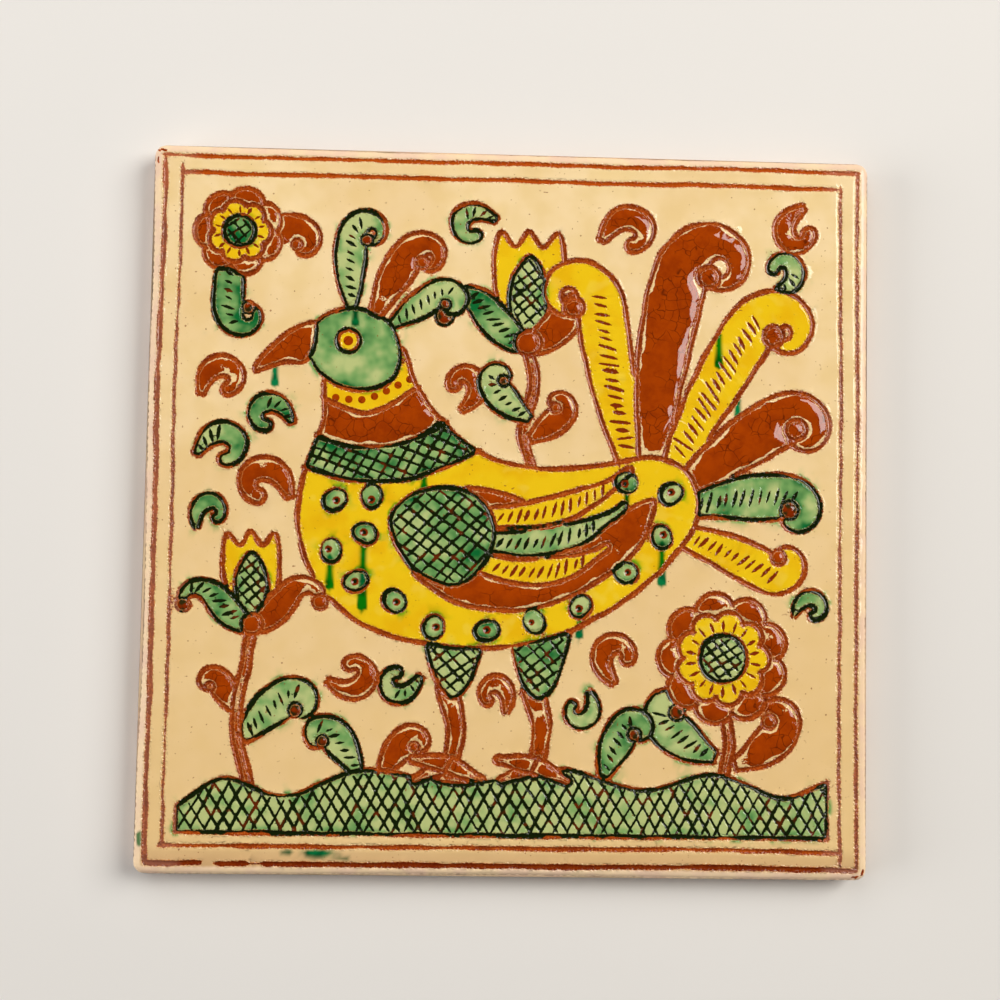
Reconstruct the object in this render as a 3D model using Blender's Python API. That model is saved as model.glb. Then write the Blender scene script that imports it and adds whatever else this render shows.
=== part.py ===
"""A hand-made decorative wall tile of fired red clay under cream slip, with an incised folk picture on its face.

The tile lies on its back: X runs along the picture's width, Y towards its top edge, Z out of its face. The origin
is the centre of the flat back. All sizes are in metres.
"""

import math

import bmesh
import bpy
import numpy as np
from mathutils import Matrix

# Slab
TILE_WIDTH = 0.200
TILE_HEIGHT = 0.200
TILE_THICKNESS = 0.009
CORNER_RADIUS = 0.003
SHOULDER_RADIUS = 0.0018
BACK_EDGE_RADIUS = 0.0006

# Two lines that frame the picture
FRAME_LINE_WIDTH = 0.0015
FRAME_LINE_DEPTH = 0.0008
OUTER_LINE_INSET = 0.0031
INNER_LINE_INSET = 0.0078
FRAME_LINE_SWAY = 0.00015
SWAY_LENGTH = 0.045
PICTURE_GAP = 0.0010

# Lines of the picture
CUT_WIDTH = 0.0014
CUT_DEPTH = 0.0008
CUT_OVERRUN = 0.0006
CUT_DEPTH_STEP = 0.000021
CUT_DEPTH_STEPS = 7
CUT_TOLERANCE = 0.00046
SHORTEST_CUT = 0.0040
SPOT_RADIUS = 0.0032

# Scored grooves on the back, above and below a plain middle
KEY_WIDTH = 0.0030
KEY_DEPTH = 0.0008
KEY_PITCH = 0.015
KEY_PLAIN_MIDDLE = 0.040
KEY_END_MARGIN = 0.018

# How curves are divided
CORNER_SEGMENTS = 4
SHOULDER_SEGMENTS = 3
KEY_SIDES = 12
SPOT_SIDES = 8
BUD_SIDES = 8
CUTTER_RISE = 0.0004
KEPT_LAYER_DEPTH = 2 * CUT_DEPTH

# The picture is drawn in units of a hundredth of its half width and half height
HALF_PICTURE = 100.0
DRAWING_STEP = 0.8
TOUCHING = 1.1
SHARP_TURN = 65.0

COLLECTION_NAME = "decorative_tile"
CUTTER_COLLECTION_NAME = "cutters"


# Drawing: smooth lines and the outlines of leaves, petals and rings


def smooth_line(points, closed=False, step=DRAWING_STEP):
    """A smooth line through the points."""
    points = np.array(points, float)
    if closed:
        guide = np.vstack([points[-1:], points, points[:2]])
    else:
        guide = np.vstack([2 * points[0] - points[1], points, 2 * points[-1] - points[-2]])
    pieces = []
    for a, b, c, d in zip(guide, guide[1:], guide[2:], guide[3:]):
        count = max(2, int(np.hypot(*(c - b)) / step))
        t = np.arange(count)[:, None] / count
        pieces.append(b + 0.5 * t * (c - a + t * (2 * a - 5 * b + 4 * c - d + t * (3 * (b - c) + d - a))))
    return np.vstack(pieces if closed else pieces + [points[-1:]])


def sweep(start, heading, length, bend, curl=0.0, curl_from=0.5, steps=60):
    """A line that turns evenly by bend degrees, and by curl degrees more in its last part."""
    middle = (np.arange(steps) + 0.5) / steps
    late = np.clip((middle - curl_from) / (1 - curl_from), 0, 1) ** 1.5
    angle = np.radians(heading + bend * middle + curl * late)
    moves = np.column_stack([np.cos(angle), np.sin(angle)]) * length / steps
    return np.vstack([start, np.array(start) + np.cumsum(moves, axis=0)])


def left_of(line):
    """The unit vector to the left of the line, at each of its points."""
    along = np.gradient(line, axis=0)
    along /= np.hypot(*along.T)[:, None]
    return np.column_stack([-along[:, 1], along[:, 0]])


def turned(points, degrees):
    cosine, sine = math.cos(math.radians(degrees)), math.sin(math.radians(degrees))
    return np.asarray(points, float) @ np.array([[cosine, sine], [-sine, cosine]])


def leaf_outline(line, widest, root=0.3, tip=0.24, peak=0.42):
    """A leaf along the line with a round tip; root and tip are its widths there as shares of the widest."""
    share = np.linspace(0, 1, len(line))
    rise = root + (1 - root) * np.sin(np.pi / 2 * np.clip(share / peak, 0, 1))
    past_peak = np.clip((share - peak) / (1 - peak), 0, 1)
    fall = tip + (1 - tip) * (0.5 + 0.5 * np.cos(np.pi * past_peak))
    half = (widest / 2 * rise * fall)[:, None]
    left, right = line + left_of(line) * half, line - left_of(line) * half
    heading = math.atan2(*(line[-1] - line[-2])[::-1])
    turn = heading + np.linspace(np.pi / 2, -np.pi / 2, 9)[1:-1]
    cap = line[-1] + half[-1] * np.column_stack([np.cos(turn), np.sin(turn)])
    return np.vstack([left, cap, right[::-1]])


def ring(centre, radius, sides=24):
    turn = np.arange(sides) * 2 * np.pi / sides
    return np.asarray(centre, float) + radius * np.column_stack([np.cos(turn), np.sin(turn)])


def petal_rim(centre, heading, count, radius, bulge, steps=10):
    """The outline of a round flower with bulging petals."""
    turn = np.arange(count * steps) / steps
    reach = radius + bulge * np.sin(np.pi * (turn % 1)) ** 0.7
    angle = np.radians(heading + turn * 360 / count)
    return np.asarray(centre, float) + reach[:, None] * np.column_stack([np.cos(angle), np.sin(angle)])


# Motifs: each adds its outlines to the drawing, from the one at the back to the one in front


def add_outline(drawing, outline, host=None):
    drawing.append((np.asarray(outline, float), host))


def add_leaf(drawing, start, heading, length, bend, curl, widest, root=0.3, tip=0.24, peak=0.42, curl_from=0.5):
    """A scroll leaf with a round bud in its curl."""
    line = sweep(start, heading, length, bend, curl, curl_from)
    add_outline(drawing, leaf_outline(line, widest, root, tip, peak))
    bud = widest * 0.2
    towards_curl = left_of(line)[-1] * math.copysign(bud * 0.2, bend + curl)
    add_outline(drawing, ring(line[-1] + towards_curl, bud, BUD_SIDES))


def add_stem(drawing, points, width=2.6):
    add_outline(drawing, leaf_outline(smooth_line(points), width, 1.0, 1.0, 0.5))


def add_tulip(drawing, base, heading, size):
    """A flower of three points with a heart-shaped seed head, between two curled sepals."""
    base = np.array(base, float)

    def placed(points):
        return base + turned(smooth_line(points, True, 0.03), heading) * size

    add_outline(drawing, placed([
        (0.25, 0.0), (0.5, 0.30), (0.85, 0.36), (1.2, 0.30), (1.04, 0.14), (1.22, 0.0),
        (1.04, -0.14), (1.2, -0.30), (0.85, -0.36), (0.5, -0.30),
    ]))
    add_outline(drawing, placed([(0.2, 0.0), (0.42, 0.19), (0.74, 0.16), (0.95, 0.0), (0.74, -0.16), (0.42, -0.19)]))
    for side in (1, -1):
        line = sweep(base, heading + side * 62, size * 1.2, -side * 55, side * 190, 0.45)
        add_outline(drawing, leaf_outline(line, size * 0.34, 0.5, 0.35, 0.35))
        add_outline(drawing, ring(line[-1], size * 0.095, BUD_SIDES))
    add_outline(drawing, ring(base + turned([(size * 0.05, 0)], heading)[0], size * 0.13, 16))


def add_rosette(drawing, centre, radius, petals):
    add_outline(drawing, petal_rim(centre, 0, petals, radius * 0.84, radius * 0.16))
    add_outline(drawing, petal_rim(centre, 180 / petals, petals, radius * 0.60, radius * 0.12))
    add_outline(drawing, ring(centre, radius * 0.36))


def add_ground(drawing):
    top = smooth_line([
        (-98, -90), (-84, -82), (-66, -87), (-42, -79), (-12, -83), (16, -78), (42, -84), (64, -79), (84, -86), (98, -81),
    ])
    add_outline(drawing, np.vstack([top, [(98, -98), (-98, -98)]]))


def add_plants(drawing):
    """The plants that stand behind the ground, and the one behind the bird's back."""
    add_leaf(drawing, (-79, -70), 52, 34, -24, -250, 11)
    add_leaf(drawing, (-81, -62), 118, 20, 10, 250, 7.5)
    add_stem(drawing, [(-77, -84), (-81, -66), (-79, -50), (-77, -38)])
    add_leaf(drawing, (64, -74), 160, 36, -50, -250, 12)
    add_leaf(drawing, (70, -76), 20, 34, 60, 240, 11)
    add_stem(drawing, [(66, -82), (68, -70), (66, -56)])
    add_leaf(drawing, (-44, -80), 118, 28, 24, 260, 9.5)
    add_leaf(drawing, (-37, -80), 62, 24, -24, -260, 8)
    add_leaf(drawing, (30, -80), 74, 30, -24, -270, 10)
    add_ground(drawing)
    add_stem(drawing, [(8, 10), (4, 24), (7, 38), (5, 50)])
    add_leaf(drawing, (6, 28), 150, 28, -36, -260, 9)
    add_leaf(drawing, (6, 22), 30, 24, 30, 270, 8)
    add_tulip(drawing, (5, 50), 90, 30)


def add_tail(drawing):
    for start, heading, length, bend, curl, widest in (
        ((38, 12), 106, 86, -14, 290, 15),
        ((44, 12), 90, 104, -24, -290, 17),
        ((49, 11), 66, 88, -14, -300, 16),
        ((53, 7), 42, 64, -20, -310, 16),
        ((54, 2), 14, 52, -24, -300, 14),
        ((50, -6), -14, 52, -26, 280, 12),
    ):
        add_leaf(drawing, start, heading, length, bend, curl, widest, 0.42, 0.22, 0.55, 0.6)


def add_legs(drawing):
    for x in (-16, 10):
        shank = smooth_line([(x, -36), (x - 2, -52), (x + 1, -66), (x - 1, -79)])
        add_outline(drawing, leaf_outline(shank, 7.5, 1.2, 0.55, 0.1))
        for heading in (205, 172, -25):
            add_outline(drawing, leaf_outline(sweep((x - 1, -77), heading, 11, 0), 4.6, 1.0, 0.5, 0.2))
        add_outline(drawing, smooth_line([(x - 8, -34), (x - 6, -50), (x, -57), (x + 6, -50), (x + 8, -34)], True))


def add_body(drawing):
    body = smooth_line([
        (-57, 38), (-57, 26), (-62, 12), (-64, -6), (-57, -24), (-40, -37), (-14, -42), (12, -39), (34, -28),
        (50, -14), (58, 0), (55, 12), (44, 17), (26, 14), (8, 13), (-8, 17), (-20, 26), (-29, 38), (-34, 50),
        (-45, 55), (-55, 50),
    ], True)
    add_outline(drawing, body)
    for band in (
        [(-66, 37), (-50, 30), (-40, 30), (-22, 40), (-12, 32), (-30, 21), (-44, 18.5), (-54, 20), (-68, 26)],
        [(-68, 26), (-54, 20), (-44, 18.5), (-30, 21), (-12, 32), (-2, 24), (-24, 11), (-42, 8), (-56, 10), (-70, 16)],
    ):
        add_outline(drawing, smooth_line(band, True), body)


def add_head(drawing):
    add_outline(drawing, smooth_line([
        (-38, 38), (-34, 47), (-38, 57), (-48, 61), (-58, 58), (-62, 49), (-58, 41), (-49, 36),
    ], True))
    add_outline(drawing, smooth_line([(-60, 56), (-67, 54), (-75, 47), (-78, 41), (-70, 44), (-62, 45)], True))
    add_outline(drawing, ring((-50, 51), 3.6, 16))
    for start, heading, length, bend, widest in (
        ((-37, 56), 40, 34, -16, 8.5),
        ((-42, 59), 68, 42, -20, 10),
        ((-49, 61), 98, 42, -24, 9.5),
    ):
        add_leaf(drawing, start, heading, length, bend, -280, widest)


def add_wing(drawing):
    add_outline(drawing, smooth_line([
        (-36, -2), (-26, 6), (-6, 6), (14, 0), (30, -2), (44, 4), (40, -10), (26, -22), (6, -30), (-16, -28),
        (-32, -16),
    ], True))
    for y, heading, length, bend in ((-16, -22, 40, 60), (-9, -12, 46, 52), (-2, -4, 48, 44)):
        add_outline(drawing, leaf_outline(sweep((-8, y), heading, length, bend), 8, 0.7, 0.3, 0.5))
    add_outline(drawing, smooth_line([
        (-36, -4), (-28, 5), (-14, 6), (-5, -2), (-6, -14), (-16, -23), (-29, -18),
    ], True))


def spot_centres():
    """Where the ring spots lie on the bird's body."""
    return (
        (-53, 2), (-44, -8), (-54, -13), (-46, -22), (-34, -28), (-22, -36), (-6, -37), (8, -34), (22, -29),
        (36, -18), (47, -7), (50, 6), (36, 9), (-42, 3),
    )


def picture_outlines():
    """Every outline of the picture, from the back to the front, in picture units."""
    drawing = []
    add_plants(drawing)
    add_tail(drawing)
    add_legs(drawing)
    add_body(drawing)
    add_head(drawing)
    add_wing(drawing)
    add_rosette(drawing, (66, -44), 20, 9)
    add_tulip(drawing, (-77, -37), 92, 24)
    add_leaf(drawing, (-86, 80), -96, 38, 16, 250, 9.5)
    add_leaf(drawing, (-82, 84), 8, 30, -16, -250, 9)
    add_rosette(drawing, (-84, 84), 13.5, 7)
    return drawing


# Strokes: the stretches of outline that show, as the tool would cut them


def inside(points, outline):
    """Which of the points lie inside the closed outline."""
    x, y = points[:, 0][:, None], points[:, 1][:, None]
    ax, ay = outline.T
    bx, by = np.roll(outline, -1, axis=0).T
    straddles = (ay > y) != (by > y)
    rise = np.where(by == ay, 1.0, by - ay)
    crosses = straddles & (x < (bx - ax) * (y - ay) / rise + ax)
    return crosses.sum(axis=1) % 2 == 1


def touching(points, outline):
    """Which of the points lie so close to the outline that the same cut serves both."""
    low, high = outline.min(axis=0) - TOUCHING, outline.max(axis=0) + TOUCHING
    found = ((points > low) & (points < high)).all(axis=1)
    away = points[found][:, None] - outline[None]
    found[found] = (np.hypot(away[..., 0], away[..., 1]) < TOUCHING).any(axis=1)
    return found


def shown_runs(outline, host, covers):
    """The stretches of the outline inside its host that no cover hides, each reaching a point further."""
    hidden = np.zeros(len(outline), bool) if host is None else ~inside(outline, host)
    for cover in covers:
        hidden |= inside(outline, cover) | touching(outline, cover)
    if not hidden.any():
        return [np.vstack([outline, outline[:1]])]
    if hidden.all():
        return []
    first = int(np.flatnonzero(hidden)[0])
    outline, hidden = np.roll(outline, -first, axis=0), np.roll(hidden, -first)
    outline, hidden = np.vstack([outline, outline[:1]]), np.append(hidden, True)
    changes = np.flatnonzero(np.diff(hidden.astype(int)))
    return [outline[a : b + 2] for a, b in zip(changes[::2], changes[1::2])]


def is_closed(line):
    return bool(len(line) > 3 and np.hypot(*(line[0] - line[-1])) < 1e-9)


def split_at_corners(line):
    """The line in pieces that hold no sharp turn."""
    steps = np.diff(line, axis=0)
    heading = np.degrees(np.arctan2(steps[:, 1], steps[:, 0]))
    turn = np.abs((np.diff(heading) + 180) % 360 - 180)
    cuts = [0, *(np.flatnonzero(turn > SHARP_TURN) + 1), len(line) - 1]
    return [line[a : b + 1] for a, b in zip(cuts, cuts[1:]) if b > a]


def overrun(line, length, both_ends=True):
    """The line with its end, or both ends, run on a little, as the tool runs past a corner."""
    first, last = line[0] - line[1], line[-1] - line[-2]
    longer = line.copy()
    longer[-1] += last / np.hypot(*last) * length
    if both_ends:
        longer[0] += first / np.hypot(*first) * length
    return longer


def thinned(line, tolerance):
    """The line with only the points that its shape needs."""
    if len(line) < 3:
        return line
    chord = line[-1] - line[0]
    span = np.hypot(*chord)
    offsets = line - line[0]
    if span < tolerance:
        off = np.hypot(*offsets.T)
    else:
        off = np.abs(offsets[:, 0] * chord[1] - offsets[:, 1] * chord[0]) / span
    far = int(off.argmax())
    if off[far] <= tolerance:
        return line[[0, -1]]
    return np.vstack([thinned(line[: far + 1], tolerance)[:-1], thinned(line[far:], tolerance)])


def picture_strokes():
    """The shown strokes of the picture, on the tile in metres."""
    unit = np.array([half_field(TILE_WIDTH), half_field(TILE_HEIGHT)]) / HALF_PICTURE
    drawing = picture_outlines()
    strokes = []
    for place, (outline, host) in enumerate(drawing):
        covers = [cover for cover, cover_host in drawing[place + 1 :] if cover_host is None]
        for run in shown_runs(outline, host, covers):
            for number, piece in enumerate(split_at_corners(run)):
                stroke = thinned(piece * unit, CUT_TOLERANCE)
                strokes.append(stroke if is_closed(stroke) else overrun(stroke, CUT_OVERRUN, number == 0))
    for centre in spot_centres():
        spot = ring(np.array(centre) * unit, SPOT_RADIUS, SPOT_SIDES)
        strokes.append(np.vstack([spot, spot[:1]]))
    return [stroke for stroke in strokes if np.hypot(*np.diff(stroke, axis=0).T).sum() > SHORTEST_CUT]


def half_field(side):
    """Half of the picture's own width or height, inside the inner frame line."""
    return side / 2 - INNER_LINE_INSET - FRAME_LINE_WIDTH / 2 - PICTURE_GAP


def frame_strokes():
    """The four sides of each frame line, swaying a little as a hand does."""
    strokes = []
    for inset in (OUTER_LINE_INSET, INNER_LINE_INSET):
        half_x, half_y = TILE_WIDTH / 2 - inset, TILE_HEIGHT / 2 - inset
        corners = [(-half_x, -half_y), (half_x, -half_y), (half_x, half_y), (-half_x, half_y)]
        for place, (start, end) in enumerate(zip(corners, corners[1:] + corners[:1])):
            start, end = np.array(start), np.array(end)
            length = np.hypot(*(end - start))
            share = np.linspace(0, 1, max(2, round(3 * length / SWAY_LENGTH)) + 1)[:, None]
            side = left_of(np.array([start, end]))[0]
            sway = FRAME_LINE_SWAY * np.sin(np.pi * share) * np.sin(2 * np.pi * share * length / SWAY_LENGTH + place)
            strokes.append(overrun(start + (end - start) * share + side * sway, CUT_OVERRUN))
    return strokes


# Solids


def new_object(name, mesh, collection):
    made = bpy.data.objects.new(name, mesh)
    collection.objects.link(made)
    return made


def make_material(name, colour, roughness):
    material = bpy.data.materials.new(name)
    material.use_nodes = True
    shader = material.node_tree.nodes["Principled BSDF"]
    shader.inputs["Base Color"].default_value = (*colour, 1.0)
    shader.inputs["Roughness"].default_value = roughness
    shader.inputs["Metallic"].default_value = 0.0
    return material


def make_slab(collection, materials):
    """The slab: upright corners rounded first, then the shoulder round the face and the edge of the back."""
    form = bmesh.new()
    bmesh.ops.create_cube(form, size=1.0)
    bmesh.ops.scale(form, vec=(TILE_WIDTH, TILE_HEIGHT, TILE_THICKNESS), verts=form.verts)
    bmesh.ops.translate(form, vec=(0, 0, TILE_THICKNESS / 2), verts=form.verts)
    upright = [edge for edge in form.edges if abs(edge.verts[0].co.z - edge.verts[1].co.z) > TILE_THICKNESS / 2]
    bevel_edges(form, upright, CORNER_RADIUS, CORNER_SEGMENTS)
    for height, radius, segments in ((TILE_THICKNESS, SHOULDER_RADIUS, SHOULDER_SEGMENTS), (0.0, BACK_EDGE_RADIUS, 1)):
        level = [edge for edge in form.edges if all(abs(vert.co.z - height) < 1e-7 for vert in edge.verts)]
        bevel_edges(form, level, radius, segments)
    mesh = bpy.data.meshes.new("glazed_tile")
    form.to_mesh(mesh)
    form.free()
    slab = new_object("glazed_tile", mesh, collection)
    for material in materials:
        mesh.materials.append(material)
    for face in mesh.polygons:
        face.material_index = 0 if face.normal.z > 0.9 else 1
    mesh.shade_smooth()
    mesh.set_sharp_from_angle(angle=math.radians(40))
    return slab


def bevel_edges(form, edges, radius, segments):
    bmesh.ops.bevel(
        form, geom=edges, offset=radius, offset_type="OFFSET", segments=segments, profile=0.5,
        affect="EDGES", clamp_overlap=True,
    )


def make_cutting_section(width, depth, collection):
    """The tool's point: a V whose arms reach the stated width at the face and go on above it."""
    spread = width / 2 * (depth + CUTTER_RISE) / depth
    section = bpy.data.curves.new("tool_point", "CURVE")
    section.dimensions = "2D"
    spline = section.splines.new("POLY")
    spline.points.add(2)
    for point, place in zip(spline.points, ((-spread, CUTTER_RISE), (0.0, -depth), (spread, CUTTER_RISE))):
        point.co = (*place, 0.0, 1.0)
    spline.use_cyclic_u = True
    made = new_object("tool_point", section, collection)
    made.hide_render = True
    return made


def make_stroke_cutter(name, strokes, width, depth, collection):
    """One mesh that holds every stroke: the tool's point swept along it at the height of the face."""
    section = make_cutting_section(width, depth, collection)
    curve = bpy.data.curves.new(name, "CURVE")
    curve.dimensions = "3D"
    curve.twist_mode = "Z_UP"
    curve.bevel_mode = "OBJECT"
    curve.bevel_object = section
    curve.use_fill_caps = True
    for place, stroke in enumerate(strokes):
        height = TILE_THICKNESS + place % CUT_DEPTH_STEPS * CUT_DEPTH_STEP
        closed = is_closed(stroke)
        points = stroke[:-1] if closed else stroke
        spline = curve.splines.new("POLY")
        spline.points.add(len(points) - 1)
        for point, (x, y) in zip(spline.points, points):
            point.co = (x, y, height, 1.0)
        spline.use_cyclic_u = closed
    swept = new_object(name + "_curve", curve, collection)
    bpy.context.view_layer.update()
    graph = bpy.context.evaluated_depsgraph_get()
    mesh = bpy.data.meshes.new_from_object(swept.evaluated_get(graph))
    form = bmesh.new()
    form.from_mesh(mesh)
    bmesh.ops.remove_doubles(form, verts=form.verts, dist=1e-7)
    bmesh.ops.recalc_face_normals(form, faces=form.faces)
    form.to_mesh(mesh)
    form.free()
    cutter = new_object(name, mesh, collection)
    cutter.matrix_world = swept.matrix_world
    bpy.data.objects.remove(swept)
    bpy.data.objects.remove(section)
    return cutter


def make_key_cutters(collection):
    """Rods that score the back with rows of shallow grooves, above and below its plain middle."""
    radius = (KEY_WIDTH**2 / 4 + KEY_DEPTH**2) / (2 * KEY_DEPTH)
    last = TILE_HEIGHT / 2 - KEY_END_MARGIN
    rows = max(1, int((last - KEY_PLAIN_MIDDLE / 2) / KEY_PITCH) + 1)
    form = bmesh.new()
    for side in (-1, 1):
        for row in range(rows):
            rod = bmesh.ops.create_cone(
                form, cap_ends=True, segments=KEY_SIDES, radius1=radius, radius2=radius,
                depth=TILE_WIDTH - 2 * KEY_END_MARGIN,
            )["verts"]
            bmesh.ops.rotate(form, verts=rod, matrix=Matrix.Rotation(math.radians(90), 3, "Y"))
            place = (0, side * (KEY_PLAIN_MIDDLE / 2 + row * KEY_PITCH), KEY_DEPTH - radius)
            bmesh.ops.translate(form, verts=rod, vec=place)
    mesh = bpy.data.meshes.new("back_key_cutter")
    form.to_mesh(mesh)
    form.free()
    return new_object("back_key_cutter", mesh, collection)


def hide(helper):
    helper.hide_render = True
    helper.display_type = "WIRE"


def add_boolean(target, tool, operation, solver="EXACT"):
    boolean = target.modifiers.new(tool.name, "BOOLEAN")
    boolean.operation = operation
    boolean.solver = solver
    boolean.use_self = solver == "EXACT"
    boolean.material_mode = "TRANSFER"
    boolean.object = tool
    return boolean


def join_strokes(cutter, collection):
    """Makes one body of strokes that cross, by keeping what a layer deeper than every stroke holds of them."""
    reach = KEPT_LAYER_DEPTH + CUTTER_RISE / 2
    form = bmesh.new()
    bmesh.ops.create_cube(form, size=1.0)
    bmesh.ops.scale(form, vec=(2 * TILE_WIDTH, 2 * TILE_HEIGHT, reach), verts=form.verts)
    bmesh.ops.translate(form, vec=(0, 0, TILE_THICKNESS + CUTTER_RISE / 2 - reach / 2), verts=form.verts)
    mesh = bpy.data.meshes.new("kept_layer")
    form.to_mesh(mesh)
    form.free()
    layer = new_object("kept_layer", mesh, collection)
    hide(layer)
    add_boolean(cutter, layer, "INTERSECT")


def cut(solid, cutter, material, solver="EXACT"):
    hide(cutter)
    cutter.data.materials.append(material)
    add_boolean(solid, cutter, "DIFFERENCE", solver)


def main():
    for old in list(bpy.data.objects):
        bpy.data.objects.remove(old)
    parts = bpy.data.collections.new(COLLECTION_NAME)
    cutters = bpy.data.collections.new(CUTTER_COLLECTION_NAME)
    for collection in (parts, cutters):
        bpy.context.scene.collection.children.link(collection)
    slip = make_material("glazed_cream_slip", (0.80, 0.62, 0.36), 0.12)
    clay = make_material("fired_red_clay", (0.42, 0.13, 0.045), 0.75)
    tile = make_slab(parts, (slip, clay))
    cut(tile, make_stroke_cutter("frame_lines", frame_strokes(), FRAME_LINE_WIDTH, FRAME_LINE_DEPTH, cutters), clay)
    cut(tile, make_key_cutters(cutters), clay)
    picture = make_stroke_cutter("picture_lines", picture_strokes(), CUT_WIDTH, CUT_DEPTH, cutters)
    join_strokes(picture, cutters)
    cut(tile, picture, clay, "MANIFOLD")


main()
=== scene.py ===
import math
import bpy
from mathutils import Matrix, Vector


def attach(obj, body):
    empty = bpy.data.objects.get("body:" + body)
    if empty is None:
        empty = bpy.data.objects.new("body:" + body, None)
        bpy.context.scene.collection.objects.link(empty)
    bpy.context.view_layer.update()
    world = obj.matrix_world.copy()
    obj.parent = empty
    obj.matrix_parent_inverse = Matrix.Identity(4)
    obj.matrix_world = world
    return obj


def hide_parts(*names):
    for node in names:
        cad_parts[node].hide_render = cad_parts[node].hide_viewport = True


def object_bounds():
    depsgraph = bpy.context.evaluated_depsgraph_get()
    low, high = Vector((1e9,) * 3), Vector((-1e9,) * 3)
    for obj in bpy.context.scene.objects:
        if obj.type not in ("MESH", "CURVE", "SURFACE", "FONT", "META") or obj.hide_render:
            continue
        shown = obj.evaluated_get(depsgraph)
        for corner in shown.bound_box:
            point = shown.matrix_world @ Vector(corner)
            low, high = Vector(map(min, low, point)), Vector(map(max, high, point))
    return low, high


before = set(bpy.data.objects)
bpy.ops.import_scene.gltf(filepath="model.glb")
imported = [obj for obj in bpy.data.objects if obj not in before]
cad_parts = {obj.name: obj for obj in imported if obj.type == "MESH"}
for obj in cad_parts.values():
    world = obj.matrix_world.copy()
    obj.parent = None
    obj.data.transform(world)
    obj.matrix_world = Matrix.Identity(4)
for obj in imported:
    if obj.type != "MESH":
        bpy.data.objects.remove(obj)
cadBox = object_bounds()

from types import SimpleNamespace

import bmesh
import bpy
import numpy as np
from mathutils import Vector, geometry, kdtree

# Lengths in this script are in mm unless a comment says otherwise, and become metres when a mesh is made
mm = 0.001

slab = {
    "node": "glazed_tile",
    "half": round(cadBox[1][0] / mm, 3),
    "top": cadBox[1][2] / mm,
    "cornerRadius": 3.0,
    "shoulderRadius": 1.9,
    "groundDepth": 0.86,        # how far the glazed ground lies below the highest point
    "groundWaves": 0.08,
    "borderStep": 0.95,
    "gridStep": 1.9,
    "gridReach": 97.6,
    "nearest": 0.27,            # points of the relief keep this far apart
    "sideHeights": (5.2, 3.6, 2.0, 0.75),
    "sideDents": 0.16,
    "faceFloor": 6.4,           # the picture's glaze reaches down the rim to this height
    "backEdge": 0.6,
    "backReach": 94.0,
    "backStep": 4.0,
    "backWaves": 0.09,
    # grooves scored across the back, above and below a plain band, and the rows of points along them
    "keyFirst": 20.0,
    "keyStep": 15.0,
    "keyCount": 5,
    "keyReach": 82.0,
    "keyHalf": 1.5,
    "keyDepth": 0.75,
    "keySway": 0.12,
    "keyRows": (-2.1, -1.5, -0.8, 0, 0.8, 1.5, 2.1),
    "keyClear": 2.6,            # no other points lie this near to a groove
    # how far each side bows in, from one corner to the next
    "bow": {
        "bottom": (0.0, 0.05, 0.30, 0.45, 0.20, 0.0, 0.0),
        "right": (0.0, 0.15, 0.25, 0.10, 0.20, 0.10, 0.0),
        "top": (0.0, 0.10, 0.20, 0.0, 0.35, 0.10, 0.0),
        "left": (0.0, 0.55, 0.10, 0.25, 0.70, 0.85, 0.15, 0.0),
    },
}

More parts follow.
